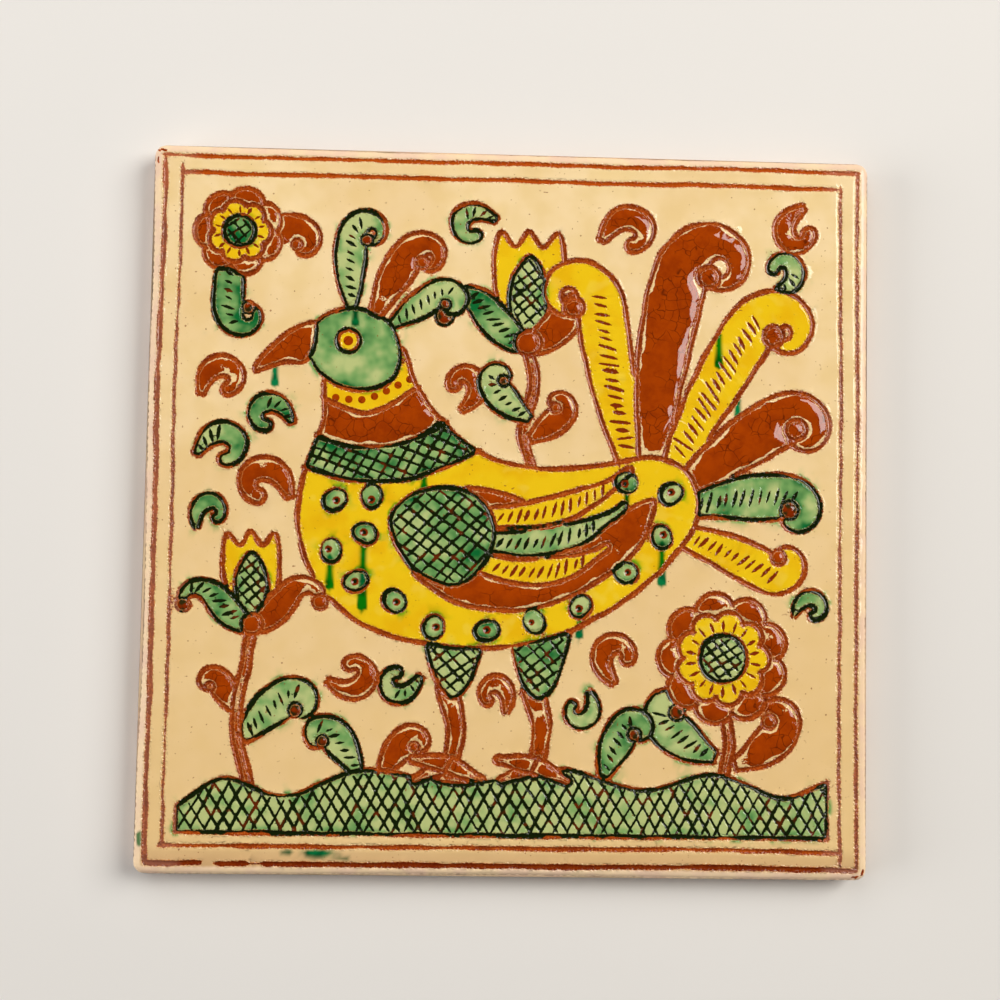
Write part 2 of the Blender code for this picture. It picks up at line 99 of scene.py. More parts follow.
picture = {
    "drawnHalf": 100.0,         # the motifs are drawn on a square this far out from its middle
    "gap": 1.0,                 # between that square and the inner frame lines
    "frameLineWidth": 1.5,
    # the frame lines of the bottom, right, top and left: how far in they lie, their shares of the width,
    # and how far each runs past its two corners, or stops short of them where the number is below zero
    "frameLines": {
        "outer": {
            "inset": 3.1,
            "widths": (0.94, 0.58, 0.72, 0.90),
            "overruns": ((0.3, 0.5), (0.4, 0.2), (0.3, 0.6), (-0.9, 0.4)),
        },
        "inner": {
            "inset": 7.8,
            "widths": (0.78, 0.56, 0.80, 0.56),
            "overruns": ((0.9, -0.3), (3.2, 0.4), (-1.6, 0.4), (2.6, 0.7)),
        },
    },
    "frameSway": 0.22,
    "skips": ((-79.7, 2.8), (-67.2, 2.2)),      # the breaks in the bottom outer line: middle and length
    "lineWidth": 1.42,
    "lineDepth": 0.38,
    "markWidth": 0.80,
    "markDepth": 0.22,
    "strokeStep": 0.12,
    "strokeTaper": 1.5,
    "handWobble": 0.13,
    "lip": 0.22,                # slip starts to rise this far beside a line
    "padRise": 0.70,
    "padReach": 3.6,
    "washRise": 0.10,
    "burr": 0.16,
    "markBurr": 0.08,
    "runRise": 0.05,
    "chipDepth": 0.22,
    "spotRadius": 3.1,
    "holeRadius": 1.0,
    "holeDepth": 0.42,
    "holeBurr": 0.10,
    "dotRadius": 1.05,
    "dotFoot": 1.2,
    "dotRise": 0.12,
    "eyeRadius": 1.35,
    "eyeFoot": 1.5,
    "eyeRise": 0.16,
    # ring spots with a hole in each, by their centres in the drawing
    "spots": [
        (-53, 2), (-44, -8), (-54, -13), (-46, -22), (-34, -28), (-22, -36), (-6, -37), (8, -34), (22, -29),
        (36, -18), (47, -7), (50, 6), (36, 9), (-42, 3),
    ],
    "eye": (-50, 51),
    # painted dots along a smooth line through these places
    "dotRow": [(-53.4, 33.4), (-44, 33.2), (-31, 39.5)],
    "dotCount": 6,
    # runs of green glaze: where each starts in the drawing, its length and its width
    "runs": [
        ((-54, -15), 8, 2.2), ((-44, -10), 18, 2.4), ((22, -31), 6, 2.0), ((47, -9), 11, 2.2),
        ((36, 7), 7, 1.8), ((-72, 43), 5, 2.0), ((64, 55), 8, 2.2), ((-48, 61), 4, 2.0), ((70, 36), 6, 2.0),
        ((-26, 12), 5, 1.8),
    ],
    # green glaze strayed onto the frame, by its middle on the tile and its two half widths
    "blots": [
        ((-50.6, -94.0), (4.4, 1.3)), ((-98.3, -90.5), (0.9, 2.0)), ((-43.5, -94.9), (2.6, 0.5)),
        ((-58.5, -93.5), (1.9, 0.5)), ((-84.0, 47.5), (0.6, 0.5)), ((84.0, 58.0), (0.4, 0.4)),
    ],
    # where the rim is chipped or rubbed through to the clay, in the same way
    "worn": [
        ((98.8, -97.7), (0.5, 1.3)), ((97.0, -99.0), (1.0, 0.4)), ((-97.9, 98.4), (1.3, 0.5)),
        ((-98.9, 95.2), (0.3, 0.9)),
    ],
}

# the drawing is scaled to fit inside the inner frame lines
insideFrame = slab["half"] - picture["frameLines"]["inner"]["inset"] - picture["frameLineWidth"] / 2
unit = (insideFrame - picture["gap"]) / picture["drawnHalf"]


# Tools for drawing

def smoothLine(points, closed=False, step=0.8):
    points = np.array(points, float)
    if closed:
        guide = np.vstack([points[-1:], points, points[:2]])
    else:
        guide = np.vstack([2 * points[0] - points[1], points, 2 * points[-1] - points[-2]])
    pieces = []
    for a, b, c, d in zip(guide, guide[1:], guide[2:], guide[3:]):
        count = max(2, int(np.hypot(*(c - b)) / step))
        t = np.arange(count)[:, None] / count
        pieces.append(b + 0.5 * t * (c - a + t * (2 * a - 5 * b + 4 * c - d + t * (3 * (b - c) + d - a))))
    return np.vstack(pieces if closed else pieces + [points[-1:]])


def aim(angle):
    # a step of length 1 in each direction, for angles in radians
    return np.column_stack([np.cos(angle), np.sin(angle)])


def sweep(start, heading, length, bend, curl=0.0, curlFrom=0.5, steps=60):
    # a line that bends evenly and then curls up towards its end
    middle = (np.arange(steps) + 0.5) / steps
    late = np.clip((middle - curlFrom) / (1 - curlFrom), 0, 1) ** 1.5
    angle = np.radians(heading + bend * middle + curl * late)
    return np.vstack([start, np.array(start) + np.cumsum(aim(angle) * length / steps, axis=0)])


def leftOf(line):
    along = np.gradient(line, axis=0)
    along /= np.maximum(np.hypot(*along.T), 1e-9)[:, None]
    return np.column_stack([-along[:, 1], along[:, 0]])


def turned(points, degrees):
    cosine, sine = math.cos(math.radians(degrees)), math.sin(math.radians(degrees))
    return np.asarray(points, float) @ np.array([[cosine, sine], [-sine, cosine]])


def lengthsAlong(line):
    return np.concatenate([[0], np.cumsum(np.hypot(*np.diff(line, axis=0).T))])


def pointAt(line, lengths, at):
    return np.stack([np.interp(at, lengths, line[:, axis]) for axis in (0, 1)], axis=-1)


def resampled(line, step):
    lengths = lengthsAlong(line)
    return pointAt(line, lengths, np.linspace(0, lengths[-1], max(2, round(lengths[-1] / step) + 1)))


def leafOutline(line, widest, root=0.3, tip=0.24, peak=0.42):
    # root and tip are shares of the widest width, and peak is how far along that lies
    share = np.linspace(0, 1, len(line))
    rise = root + (1 - root) * np.sin(np.pi / 2 * np.clip(share / peak, 0, 1))
    pastPeak = np.clip((share - peak) / (1 - peak), 0, 1)
    fall = tip + (1 - tip) * (0.5 + 0.5 * np.cos(np.pi * pastPeak))
    half = (widest / 2 * rise * fall)[:, None]
    left, right = line + leftOf(line) * half, line - leftOf(line) * half
    heading = math.atan2(*(line[-1] - line[-2])[::-1])
    cap = line[-1] + half[-1] * aim(heading + np.linspace(np.pi / 2, -np.pi / 2, 9)[1:-1])
    return np.vstack([left, cap, right[::-1]])


def ring(centre, radius, sides=24):
    return np.asarray(centre, float) + radius * aim(np.arange(sides) * 2 * np.pi / sides)


def petalRim(centre, heading, count, radius, bulge, steps=10):
    turn = np.arange(count * steps) / steps
    reach = radius + bulge * np.sin(np.pi * (turn % 1)) ** 0.7
    angle = np.radians(heading + turn * 360 / count)
    return np.asarray(centre, float) + reach[:, None] * aim(angle)


def inside(points, outline):
    found = np.zeros(len(points), bool)
    near = ((points >= outline.min(axis=0)) & (points <= outline.max(axis=0))).all(axis=1)
    x, y = points[near][:, 0][:, None], points[near][:, 1][:, None]
    ax, ay = outline.T
    bx, by = np.roll(outline, -1, axis=0).T
    rise = np.where(by == ay, 1.0, by - ay)
    crosses = ((ay > y) != (by > y)) & (x < (bx - ax) * (y - ay) / rise + ax)
    found[near] = crosses.sum(axis=1) % 2 == 1
    return found


def runsOf(flags):
    # where each unbroken run of true flags starts and ends
    edges = np.flatnonzero(np.diff(np.concatenate([[0], flags, [0]])))
    return zip(edges[::2], edges[1::2])


def smoothed(values, reach):
    count = 2 * reach + 1
    return np.convolve(np.pad(values, reach, mode="edge"), np.ones(count) / count, "valid")


def waver(points, wavelength, seed):
    # a smooth uneven field between about -1 and 1, of seven waves in different directions
    draw = np.random.default_rng(seed)
    total = np.zeros(len(points))
    for _ in range(7):
        angle, phase = draw.uniform(0, 2 * np.pi, 2)
        length = wavelength * draw.uniform(0.7, 1.6)
        along = points[:, 0] * math.cos(angle) + points[:, 1] * math.sin(angle)
        total += np.sin(along * 2 * np.pi / length + phase)
    return total / 3.2


# The picture: shapes from the back to the front, each with its paint and the scratches in it

shapes = []


def addShape(outline, paint, marks=(), host=None):
    # where a shape has a host, only what lies inside the host's outline shows
    shapes.append({"outline": np.asarray(outline, float), "paint": paint, "marks": list(marks), "host": host})
    return shapes[-1]["outline"]


def hatch(outline, spacing, angles, inset=1.2, step=0.5):
    lines = []
    centre = outline.mean(axis=0)
    reach = np.hypot(*(outline - centre).T).max()
    across = np.arange(-reach, reach, step)
    skip = int(inset / step)
    for angle in angles:
        flat = turned(outline - centre, -angle)
        for y in np.arange(-reach, reach, spacing):
            row = np.column_stack([across, np.full(len(across), y)])
            for first, last in runsOf(inside(row, flat)):
                if last - first > 2 * skip + 3:
                    lines.append(turned(row[[first + skip, last - 1 - skip]], angle) + centre)
    return lines


def ticks(line, length, spacing, lean=60, start=0.12, end=0.8):
    # short scratches across a line, from one share of its length to another
    draw = np.random.default_rng(round(1000 * length))
    lengths = lengthsAlong(line)
    left = leftOf(line)
    lines = []
    for at in np.arange(start * lengths[-1], end * lengths[-1], spacing):
        at += draw.normal(0, 0.12)
        side = turned(pointAt(left, lengths, at), lean - 90 + draw.normal(0, 4))
        half = side * length / 2 * draw.uniform(0.75, 1.25)
        middle = pointAt(line, lengths, at)
        lines.append(np.array([middle - half, middle + half]))
    return lines


def rays(centre, count, inner, outer):
    middle = np.array(centre)
    turn = np.radians((np.arange(count) + 0.5) * 360 / count)
    return [np.array([middle + way * inner, middle + way * outer]) for way in aim(turn)]


def addLeaf(start, heading, length, bend, curl, widest, paint, root=0.3, tip=0.24, peak=0.42, curlFrom=0.5):
    line = sweep(start, heading, length, bend, curl, curlFrom)
    marks = ticks(line, widest * 0.34, 2.6, 68, 0.1, 0.66) if paint != "brown" else ()
    addShape(leafOutline(line, widest, root, tip, peak), paint, marks)
    bud = widest * 0.2
    towardsCurl = leftOf(line)[-1] * math.copysign(bud * 0.2, bend + curl)
    addShape(ring(line[-1] + towardsCurl, bud, 16), "bud" if paint == "green" else "ball")


def addCurl(centre, heading, size, way, paint):
    # a small comma that fills the ground between the larger forms
    line = sweep((0, 0), heading, size * 1.5, 0, way * 240, 0.1)
    line += centre - (line.min(axis=0) + line.max(axis=0)) / 2
    marks = ticks(line, size * 0.22, 2.5, 70, 0.1, 0.5) if paint == "green" and size > 12 else ()
    addShape(leafOutline(line, size * 0.42, 0.3, 0.62, 0.5), paint, marks)


def addStem(points, width=2.6):
    addShape(leafOutline(smoothLine(points), width, 1.0, 1.0, 0.5), "brown")


def addTulip(base, heading, size):
    base = np.array(base, float)

    def placed(points):
        return base + turned(smoothLine(points, True, 0.03), heading) * size

    addShape(placed([
        (0.25, 0.0), (0.5, 0.30), (0.85, 0.36), (1.2, 0.30), (1.04, 0.14), (1.22, 0.0),
        (1.04, -0.14), (1.2, -0.30), (0.85, -0.36), (0.5, -0.30),
    ]), "yellow")
    heart = placed([(0.2, 0.0), (0.42, 0.19), (0.74, 0.16), (0.95, 0.0), (0.74, -0.16), (0.42, -0.19)])
    addShape(heart, "mint", hatch(heart, 2.7, (heading + 40, heading - 48), 0.8))
    for side in (1, -1):
        line = sweep(base, heading + side * 62, size * 1.2, -side * 55, side * 190, 0.45)
        marks = ticks(line, size * 0.16, 2.4) if side > 0 else ()
        addShape(leafOutline(line, size * 0.34, 0.5, 0.35, 0.35), "green" if side > 0 else "brown", marks)
        addShape(ring(line[-1], size * 0.095, 16), "bud" if side > 0 else "ball")
    addShape(ring(base + turned([(size * 0.05, 0)], heading)[0], size * 0.13, 20), "ball")


def addRosette(centre, radius, petals):
    addShape(petalRim(centre, 0, petals, radius * 0.84, radius * 0.16), "brown")
    inner = petalRim(centre, 180 / petals, petals, radius * 0.60, radius * 0.12)
    addShape(inner, "yellow", rays(centre, petals * 2, radius * 0.42, radius * 0.58))
    disc = ring(centre, radius * 0.36)
    addShape(disc, "mint", hatch(disc, 2.7, (34, -50)))


def addGround():
    top = smoothLine([
        (-98, -90), (-84, -82), (-66, -87), (-42, -79), (-12, -83), (16, -78), (42, -84), (64, -79),
        (84, -86), (98, -81),
    ])
    strip = np.vstack([top, [(98, -98), (-98, -98)]])
    addShape(strip, "mint", hatch(strip, 3.3, (62, -58), 0.9))


def addPlants():
    addLeaf((-79, -70), 52, 34, -24, -250, 11, "green")
    addLeaf((-81, -62), 118, 20, 10, 250, 7.5, "brown")
    addStem([(-77, -84), (-81, -66), (-79, -50), (-77, -38)])
    addLeaf((64, -74), 160, 36, -50, -250, 12, "green")
    addLeaf((70, -76), 20, 34, 60, 240, 11, "brown")
    addStem([(66, -82), (68, -70), (66, -56)])
    addLeaf((-44, -80), 118, 28, 24, 260, 9.5, "green")
    addLeaf((-37, -80), 62, 24, -24, -260, 8, "brown")
    addLeaf((30, -80), 74, 30, -24, -270, 10, "green")
    addGround()
    addStem([(8, 10), (4, 24), (7, 38), (5, 50)])
    addLeaf((6, 28), 150, 28, -36, -260, 9, "green")
    addLeaf((6, 22), 30, 24, 30, 270, 8, "brown")
    addTulip((5, 50), 90, 30)


def addTail():
    for start, heading, length, bend, curl, widest, paint in (
        ((38, 12), 106, 86, -14, 290, 15, "yellow"),
        ((44, 12), 90, 104, -24, -290, 17, "brown"),
        ((49, 11), 66, 88, -14, -300, 16, "yellow"),
        ((53, 7), 42, 64, -20, -310, 16, "brown"),
        ((54, 2), 14, 52, -24, -300, 14, "green"),
        ((50, -6), -14, 52, -26, 280, 12, "yellow"),
    ):
        addLeaf(start, heading, length, bend, curl, widest, paint, 0.42, 0.22, 0.55, 0.6)


def addLegs():
    for x in (-16, 10):
        shank = smoothLine([(x, -36), (x - 2, -52), (x + 1, -66), (x - 1, -79)])
        addShape(leafOutline(shank, 7.5, 1.2, 0.55, 0.1), "brown")
        for heading in (205, 172, -25):
            addShape(leafOutline(sweep((x - 1, -77), heading, 11, 0), 4.6, 1.0, 0.5, 0.2), "brown")
        thigh = smoothLine([(x - 8, -34), (x - 6, -50), (x, -57), (x + 6, -50), (x + 8, -34)], True)
        addShape(thigh, "mint", hatch(thigh, 3.1, (38, -46), 1.0))


def addBody():
    body = addShape(smoothLine([
        (-57, 38), (-57, 26), (-62, 12), (-64, -6), (-57, -24), (-40, -37), (-14, -42), (12, -39), (34, -28),
        (50, -14), (58, 0), (55, 12), (44, 17), (26, 14), (8, 13), (-8, 17), (-20, 26), (-29, 38), (-34, 50),
        (-45, 55), (-55, 50),
    ], True), "yellow")
    addShape(smoothLine([
        (-66, 37), (-50, 30), (-40, 30), (-22, 40), (-12, 32), (-30, 21), (-44, 18.5), (-54, 20), (-68, 26),
    ], True), "brown", host=body)
    collar = smoothLine([
        (-68, 26), (-54, 20), (-44, 18.5), (-30, 21), (-12, 32), (-2, 24), (-24, 11), (-42, 8), (-56, 10),
        (-70, 16),
    ], True)
    addShape(collar, "mint", hatch(collar, 3.1, (60, -20), 1.0), body)


def addHead():
    addShape(smoothLine([
        (-38, 38), (-34, 47), (-38, 57), (-48, 61), (-58, 58), (-62, 49), (-58, 41), (-49, 36),
    ], True), "green")
    addShape(smoothLine([(-60, 56), (-67, 54), (-75, 47), (-78, 41), (-70, 44), (-62, 45)], True), "brown")
    addShape(ring(picture["eye"], 3.6, 20), "yellow")
    for start, heading, length, bend, widest, paint in (
        ((-37, 56), 40, 34, -16, 8.5, "green"),
        ((-42, 59), 68, 42, -20, 10, "brown"),
        ((-49, 61), 98, 42, -24, 9.5, "green"),
    ):
        addLeaf(start, heading, length, bend, -280, widest, paint)


def addWing():
    addShape(smoothLine([
        (-36, -2), (-26, 6), (-6, 6), (14, 0), (30, -2), (44, 4), (40, -10), (26, -22), (6, -30), (-16, -28),
        (-32, -16),
    ], True), "brown")
    for y, heading, length, bend, paint in (
        (-16, -22, 40, 60, "yellow"),
        (-9, -12, 46, 52, "green"),
        (-2, -4, 48, 44, "yellow"),
    ):
        line = sweep((-8, y), heading, length, bend)
        addShape(leafOutline(line, 8, 0.7, 0.3, 0.5), paint, ticks(line, 4, 2.7))
    shoulder = smoothLine([(-36, -4), (-28, 5), (-14, 6), (-5, -2), (-6, -14), (-16, -23), (-29, -18)], True)
    addShape(shoulder, "mint", hatch(shoulder, 3.3, (46, -36), 1.2))


def addFillers():
    for centre, heading, size, way, paint in (
        ((-89, 38), 80, 15, -1, "brown"), ((-72, 28), 120, 14, 1, "green"), ((-89, 18), 60, 16, -1, "green"),
        ((-73, 7), 110, 17, 1, "brown"), ((-91, -3), 96, 12, -1, "green"), ((-11, 88), 150, 14, 1, "green"),
        ((34, 87), 62, 17, -1, "brown"), ((88, 90), 214, 15, 1, "brown"), ((84, 74), 20, 14, 1, "green"),
        ((-48, -51), -30, 15, 1, "brown"), ((-31, -53), 240, 13, -1, "green"),
        ((33, -46), 130, 15, -1, "brown"), ((23, -59), -70, 12, -1, "green"), ((-3, -57), 80, 12, 1, "brown"),
        ((-14, 36), 40, 14, 1, "brown"), ((92, -28), 70, 11, -1, "green"),
    ):
        addCurl(centre, heading, size, way, paint)


def drawPicture():
    addFillers()
    addPlants()
    addTail()
    addLegs()
    addBody()
    addHead()
    addWing()
    addRosette((66, -44), 20, 9)
    addTulip((-77, -37), 92, 24)
    addLeaf((-86, 80), -96, 38, 16, 250, 9.5, "green")
    addLeaf((-82, 84), 8, 30, -16, -250, 9, "brown")
    addRosette((-84, 84), 13.5, 7)


def topShapes(points):
    # the number of the foremost shape at each point, or -1 on the bare ground
    top = np.full(len(points), -1)
    for number, shape in enumerate(shapes):
        held = inside(points, shape["outline"])
        if shape["host"] is not None:
            held &= inside(points, shape["host"])
        top[held] = number
    return top


def touching(points, outline, reach=1.1):
    found = ((points > outline.min(axis=0) - reach) & (points < outline.max(axis=0) + reach)).all(axis=1)
    away = points[found][:, None] - outline[None]
    found[found] = (np.hypot(away[..., 0], away[..., 1]) < reach).any(axis=1)
    return found


def shownRuns(outline, host, covers):
    # the stretches of an outline that no shape in front of it hides
    hidden = np.zeros(len(outline), bool) if host is None else ~inside(outline, host)
    for cover in covers:
        hidden |= inside(outline, cover) | touching(outline, cover)
    if not hidden.any():
        return [np.vstack([outline, outline[:1]])]
    if hidden.all():
        return []
    first = int(np.flatnonzero(hidden)[0])
    outline, hidden = np.roll(outline, -first, axis=0), np.roll(hidden, -first)
    outline, hidden = np.vstack([outline, outline[:1]]), np.append(hidden, True)
    changes = np.flatnonzero(np.diff(hidden.astype(int)))
    return [outline[a : b + 2] for a, b in zip(changes[::2], changes[1::2])]


def splitAtCorners(line, sharpest=65):
    steps = np.diff(line, axis=0)
    heading = np.degrees(np.arctan2(steps[:, 1], steps[:, 0]))
    turn = np.abs((np.diff(heading) + 180) % 360 - 180)
    cuts = [0, *(np.flatnonzero(turn > sharpest) + 1), len(line) - 1]
    return [line[a : b + 1] for a, b in zip(cuts, cuts[1:]) if b > a]


# Strokes of the tool, on the tile in mm

def makeStroke(line, width, depth, seed, overrun=0.5, wobble=picture["handWobble"], pointed=0.38):
    # a line as a hand cuts it, with its half width and depth at each point
    step = picture["strokeStep"]
    closed = len(line) > 3 and np.hypot(*(line[0] - line[-1])) < 1e-9
    line = resampled(line, step)
    line = line + np.column_stack([waver(line, 9.0, 11), waver(line, 9.0, 12)]) * wobble
    if not closed:
        further = np.arange(step, overrun + 0.01, step)[:, None]
        ends = (line[0] - line[:5][-1], line[-1] - line[-5:][0])
        before, after = [end / max(np.hypot(*end), 1e-9) for end in ends]
        line = np.vstack([line[0] + before * further[::-1], line, line[-1] + after * further])
    fromEnd = np.minimum(np.arange(len(line)), np.arange(len(line))[::-1]) * step
    taper = 1 - pointed + pointed * np.sin(np.pi / 2 * np.clip(fromEnd / picture["strokeTaper"], 0, 1))
    if closed:
        taper[:] = 1
    half = width / 2 * taper * (1 + 0.13 * waver(line, 14.0, seed) + 0.07 * waver(line, 3.2, seed + 1))
    deep = depth * (0.8 + 0.2 * taper) * (1 + 0.20 * waver(line, 11.0, seed + 2))
    return {"line": line, "half": half, "depth": deep}


def spotLine(number, centre):
    # a ring cut in one turn that is a little oval and doesn't quite meet itself
    turn = np.radians(np.linspace(0, 368, 32) + 70 * number)
    reach = 1 + 0.11 * np.sin(turn + number) + 0.09 * np.sin(2 * turn + 2.3 * number)
    reach += 0.03 * np.linspace(-1, 1, 32)
    return np.array(centre) * unit + picture["spotRadius"] * reach[:, None] * aim(turn)


spotLines = [spotLine(number, centre) for number, centre in enumerate(picture["spots"])]


def pictureStrokes():
    strokes = []
    for place, shape in enumerate(shapes):
        covers = [other["outline"] for other in shapes[place + 1 :] if other["host"] is None]
        # the small curls at the leaves' tips are cut finer than the rest
        small = np.ptp(shape["outline"], axis=0).max() < 6
        width = picture["lineWidth"] * (0.66 if small else 1)
        for run in shownRuns(shape["outline"], shape["host"], covers):
            for piece in splitAtCorners(run):
                if lengthsAlong(piece)[-1] > 1.6:
                    strokes.append(makeStroke(piece * unit, width, picture["lineDepth"], 40 + place))
    for number, line in enumerate(spotLines):
        stroke = makeStroke(line, picture["lineWidth"] * 0.82, picture["lineDepth"], 300 + number, 0.1)
        # each ring is cut wider on its lower left
        around = stroke["line"] - stroke["line"].mean(axis=0)
        heaviest = math.radians(225 + 70 * math.sin(number))
        stroke["half"] *= 1 + 0.30 * np.cos(np.arctan2(*around.T[::-1]) - heaviest)
        strokes.append(stroke)
    return strokes


def frameStrokes():
    strokes = []
    for name, kind in picture["frameLines"].items():
        half = slab["half"] - kind["inset"]
        corners = [(-half, -half), (half, -half), (half, half), (-half, half)]
        for side, (before, after) in enumerate(kind["overruns"]):
            start, end = np.array(corners[side]), np.array(corners[(side + 1) % 4])
            way = (end - start) / (2 * half)
            start, end = start - way * before, end + way * after
            share = np.linspace(0, 1, 400)[:, None]
            sway = waver(share * [[2 * slab["half"], 0]], 70.0, 500 + side) * picture["frameSway"]
            line = start + (end - start) * share + leftOf(np.array([start, end]))[0] * sway[:, None]
            width = picture["frameLineWidth"] * kind["widths"][side]
            # the tool skipped in a few places, where the ground stands across the line
            skips = picture["skips"] if name == "outer" and side == 0 else ()
            pointed = 0.75 if skips else 0.38
            gaps = [(x - gap / 2, x + gap / 2) for x, gap in skips]
            cuts = [-slab["half"], *np.ravel(gaps), slab["half"]]
            for low, high in zip(cuts[::2], cuts[1::2]):
                run = line[(line[:, 0] > low) & (line[:, 0] < high)]
                strokes.append(makeStroke(run, width, picture["lineDepth"], 520 + side, 0.0, 0.10, pointed))
    return strokes


def markStrokes():
    strokes = []
    for place, shape in enumerate(shapes):
        for number, mark in enumerate(shape["marks"]):
            draw = np.random.default_rng(1000 * place + number)
            long = np.hypot(*(mark[1] - mark[0])) > 6
            line = resampled(mark + draw.normal(0, 0.34 if long else 0.12, mark.shape), 0.4)
            width = picture["markWidth"] * draw.uniform(0.82, 1.2) * (1 if long else 1.22)
            for first, last in runsOf(topShapes(line) == place):
                if last - first > 3:
                    # short ticks run out to points, long crossing lines hardly
                    pointed = 0.7 if last - first < 16 else 0.3
                    run = line[first:last] * unit
                    stroke = makeStroke(run, width, picture["markDepth"], 700 + place, 0.0, 0.07, pointed)
                    strokes.append(stroke)
    return strokes


drawPicture()
lines = frameStrokes()
frameCount = len(lines)
lines += pictureStrokes()
marks = markStrokes()
print(f"picture drawn: {len(shapes)} shapes, {len(lines)} lines, {len(marks)} scratches")


# Sheets of points: how far each lies from the lines, what paint is on it and how high it stands

def searchTree(points):
    tree = kdtree.KDTree(len(points))
    for number, point in enumerate(points):
        tree.insert((point[0], point[1], 0.0), number)
    tree.balance()
    return tree


def nearestIn(tree, points):
    found = [tree.find((x, y, 0.0))[1:] for x, y in points.tolist()]
    return np.array([item[0] for item in found]), np.array([item[1] for item in found])


def distanceTo(places, points):
    return nearestIn(searchTree(places), points)[1]


def gathered(strokes):
    samples = {}
    for name in ("line", "half", "depth"):
        samples[name] = np.concatenate([stroke[name] for stroke in strokes])
    samples["tree"] = searchTree(samples["line"])
    return samples


lineSamples, markSamples = gathered(lines), gathered(marks)
# each hole lies a little off the middle of its ring
holeCentres = np.array([
    np.array(centre) * unit + turned((0.5, 0), 77 * number) for number, centre in enumerate(picture["spots"])
])
eyeCentre = np.array([picture["eye"]]) * unit
dotLine = resampled(smoothLine(picture["dotRow"]), 1.0)
dotCentres = dotLine[:: round(len(dotLine) / picture["dotCount"])] * unit


def outlineOfSlab():
    half, radius = slab["half"], slab["cornerRadius"]
    length = 2 * (half - radius)
    share = np.linspace(0, 1, round(length / slab["borderStep"]) + 1)
    sides = []
    for number, bow in enumerate(slab["bow"].values()):
        inward = smoothed(np.interp(share, np.linspace(0, 1, len(bow)), bow), 15)
        inward *= np.clip(np.minimum(share, 1 - share) * 14, 0, 1)
        ripple = waver(np.column_stack([share * 2 * half, share * 0]), 6.0, 60 + number)
        inward += 0.05 * (1 + ripple) * np.sin(np.pi * share)
        straight = np.column_stack([-half + radius + share * length, -half + np.maximum(inward, 0)])
        corner = np.array([half - radius, -half + radius]) + radius * aim(np.linspace(-np.pi / 2, 0, 6)[1:-1])
        sides.append(turned(np.vstack([straight, corner]), 90 * number))
    return np.vstack(sides)


border = outlineOfSlab()
borderIn = np.roll(border, -1, axis=0) - np.roll(border, 1, axis=0)
borderIn = np.column_stack([-borderIn[:, 1], borderIn[:, 0]]) / np.hypot(*borderIn.T)[:, None]

# How far the rows of points lie from the things that they follow
rows = {
    "border": (0.0, 0.22, 0.55, 1.05, 1.75),
    # from the middle of a line of this half width, and from the middle of a scratch
    "usualHalf": 0.7,
    "beside": ((0.0, 0.0), (0.40, 0.49), (0.74, None), (1.02, 1.02)),
    "outer": 1.6,               # one more row along the lines, out in the ground
    # one point for this many samples of a stroke, near it and far out
    "every": {"frame": (9, 14), "line": (6, 10), "mark": (5, 7)},
    "apart": {"farMarks": 0.42, "outer": 0.5, "runs": 0.4},
    "rounds": (
        (holeCentres, (0.0, 0.5, 0.95, 1.25)),
        (dotCentres, (0.0, 0.6, 1.0, 1.35)),
        (eyeCentre, (0.0, 0.7, 1.2, 1.6)),
    ),
    "acrossRuns": (-0.75, -0.4, 0, 0.4, 0.75),      # as shares of a run's width
}


def chosenPoints():
    # rows of points beside every line, from the most wanted to the least, none too close to another
    cell = slab["nearest"]
    taken = {}
    kept = []

    def offer(points, apart=cell):
        reach = math.ceil(apart / cell)
        for x, y in points.tolist():
            column, row = math.floor(x / cell), math.floor(y / cell)
            around = range(-reach, reach + 1)
            near = (taken.get((column + i, row + j)) for i in around for j in around)
            if not any(other and (other[0] - x) ** 2 + (other[1] - y) ** 2 < apart * apart for other in near):
                taken[column, row] = (x, y)
                kept.append((x, y))

    def offerBeside(stroke, away, every, apart=cell, scale=1.0):
        side = leftOf(stroke["line"]) * away * scale
        for sign in (1, -1) if away else (1,):
            offer((stroke["line"] + side * sign)[::every], apart)

    every = rows["every"]
    everyLine = [every["frame" if number < frameCount else "line"] for number in range(len(lines))]
    for inset in rows["border"]:
        offer(border + borderIn * inset)
    for fromLine, fromMark in rows["beside"]:
        for stroke, (near, _) in zip(lines, everyLine):
            offerBeside(stroke, fromLine, near, cell, (stroke["half"] / rows["usualHalf"])[:, None])
        for stroke in marks if fromMark is not None else ():
            far = fromMark > 1
            offerBeside(stroke, fromMark, every["mark"][far], rows["apart"]["farMarks"] if far else cell)
    for centres, radii in rows["rounds"]:
        for centre in centres:
            for radius in radii:
                offer(ring(centre, radius, max(1, round(radius * 11))))
    for start, length, width in picture["runs"]:
        top = np.array(start) * unit
        fall = np.linspace(0, length + 1.2, round(length / 0.7) + 2)
        for share in rows["acrossRuns"]:
            offer(np.column_stack([top[0] + share * width + fall * 0, top[1] - fall]), rows["apart"]["runs"])
    for stroke, (_, far) in zip(lines, everyLine):
        offerBeside(stroke, rows["outer"], far, rows["apart"]["outer"])
    step, reach = slab["gridStep"], slab["half"] - 1
    columns, levels = np.meshgrid(np.arange(-reach, reach, step), np.arange(-reach, reach, step * 0.866))
    columns = columns + (np.arange(len(levels)) % 2)[:, None] * step / 2
    grid = np.column_stack([columns.ravel(), levels.ravel()])
    grid += np.random.default_rng(5).uniform(-0.2, 0.2, grid.shape)
    offer(grid[(np.abs(grid) < slab["gridReach"]).all(axis=1)], step * 0.62)
    return np.array(kept)


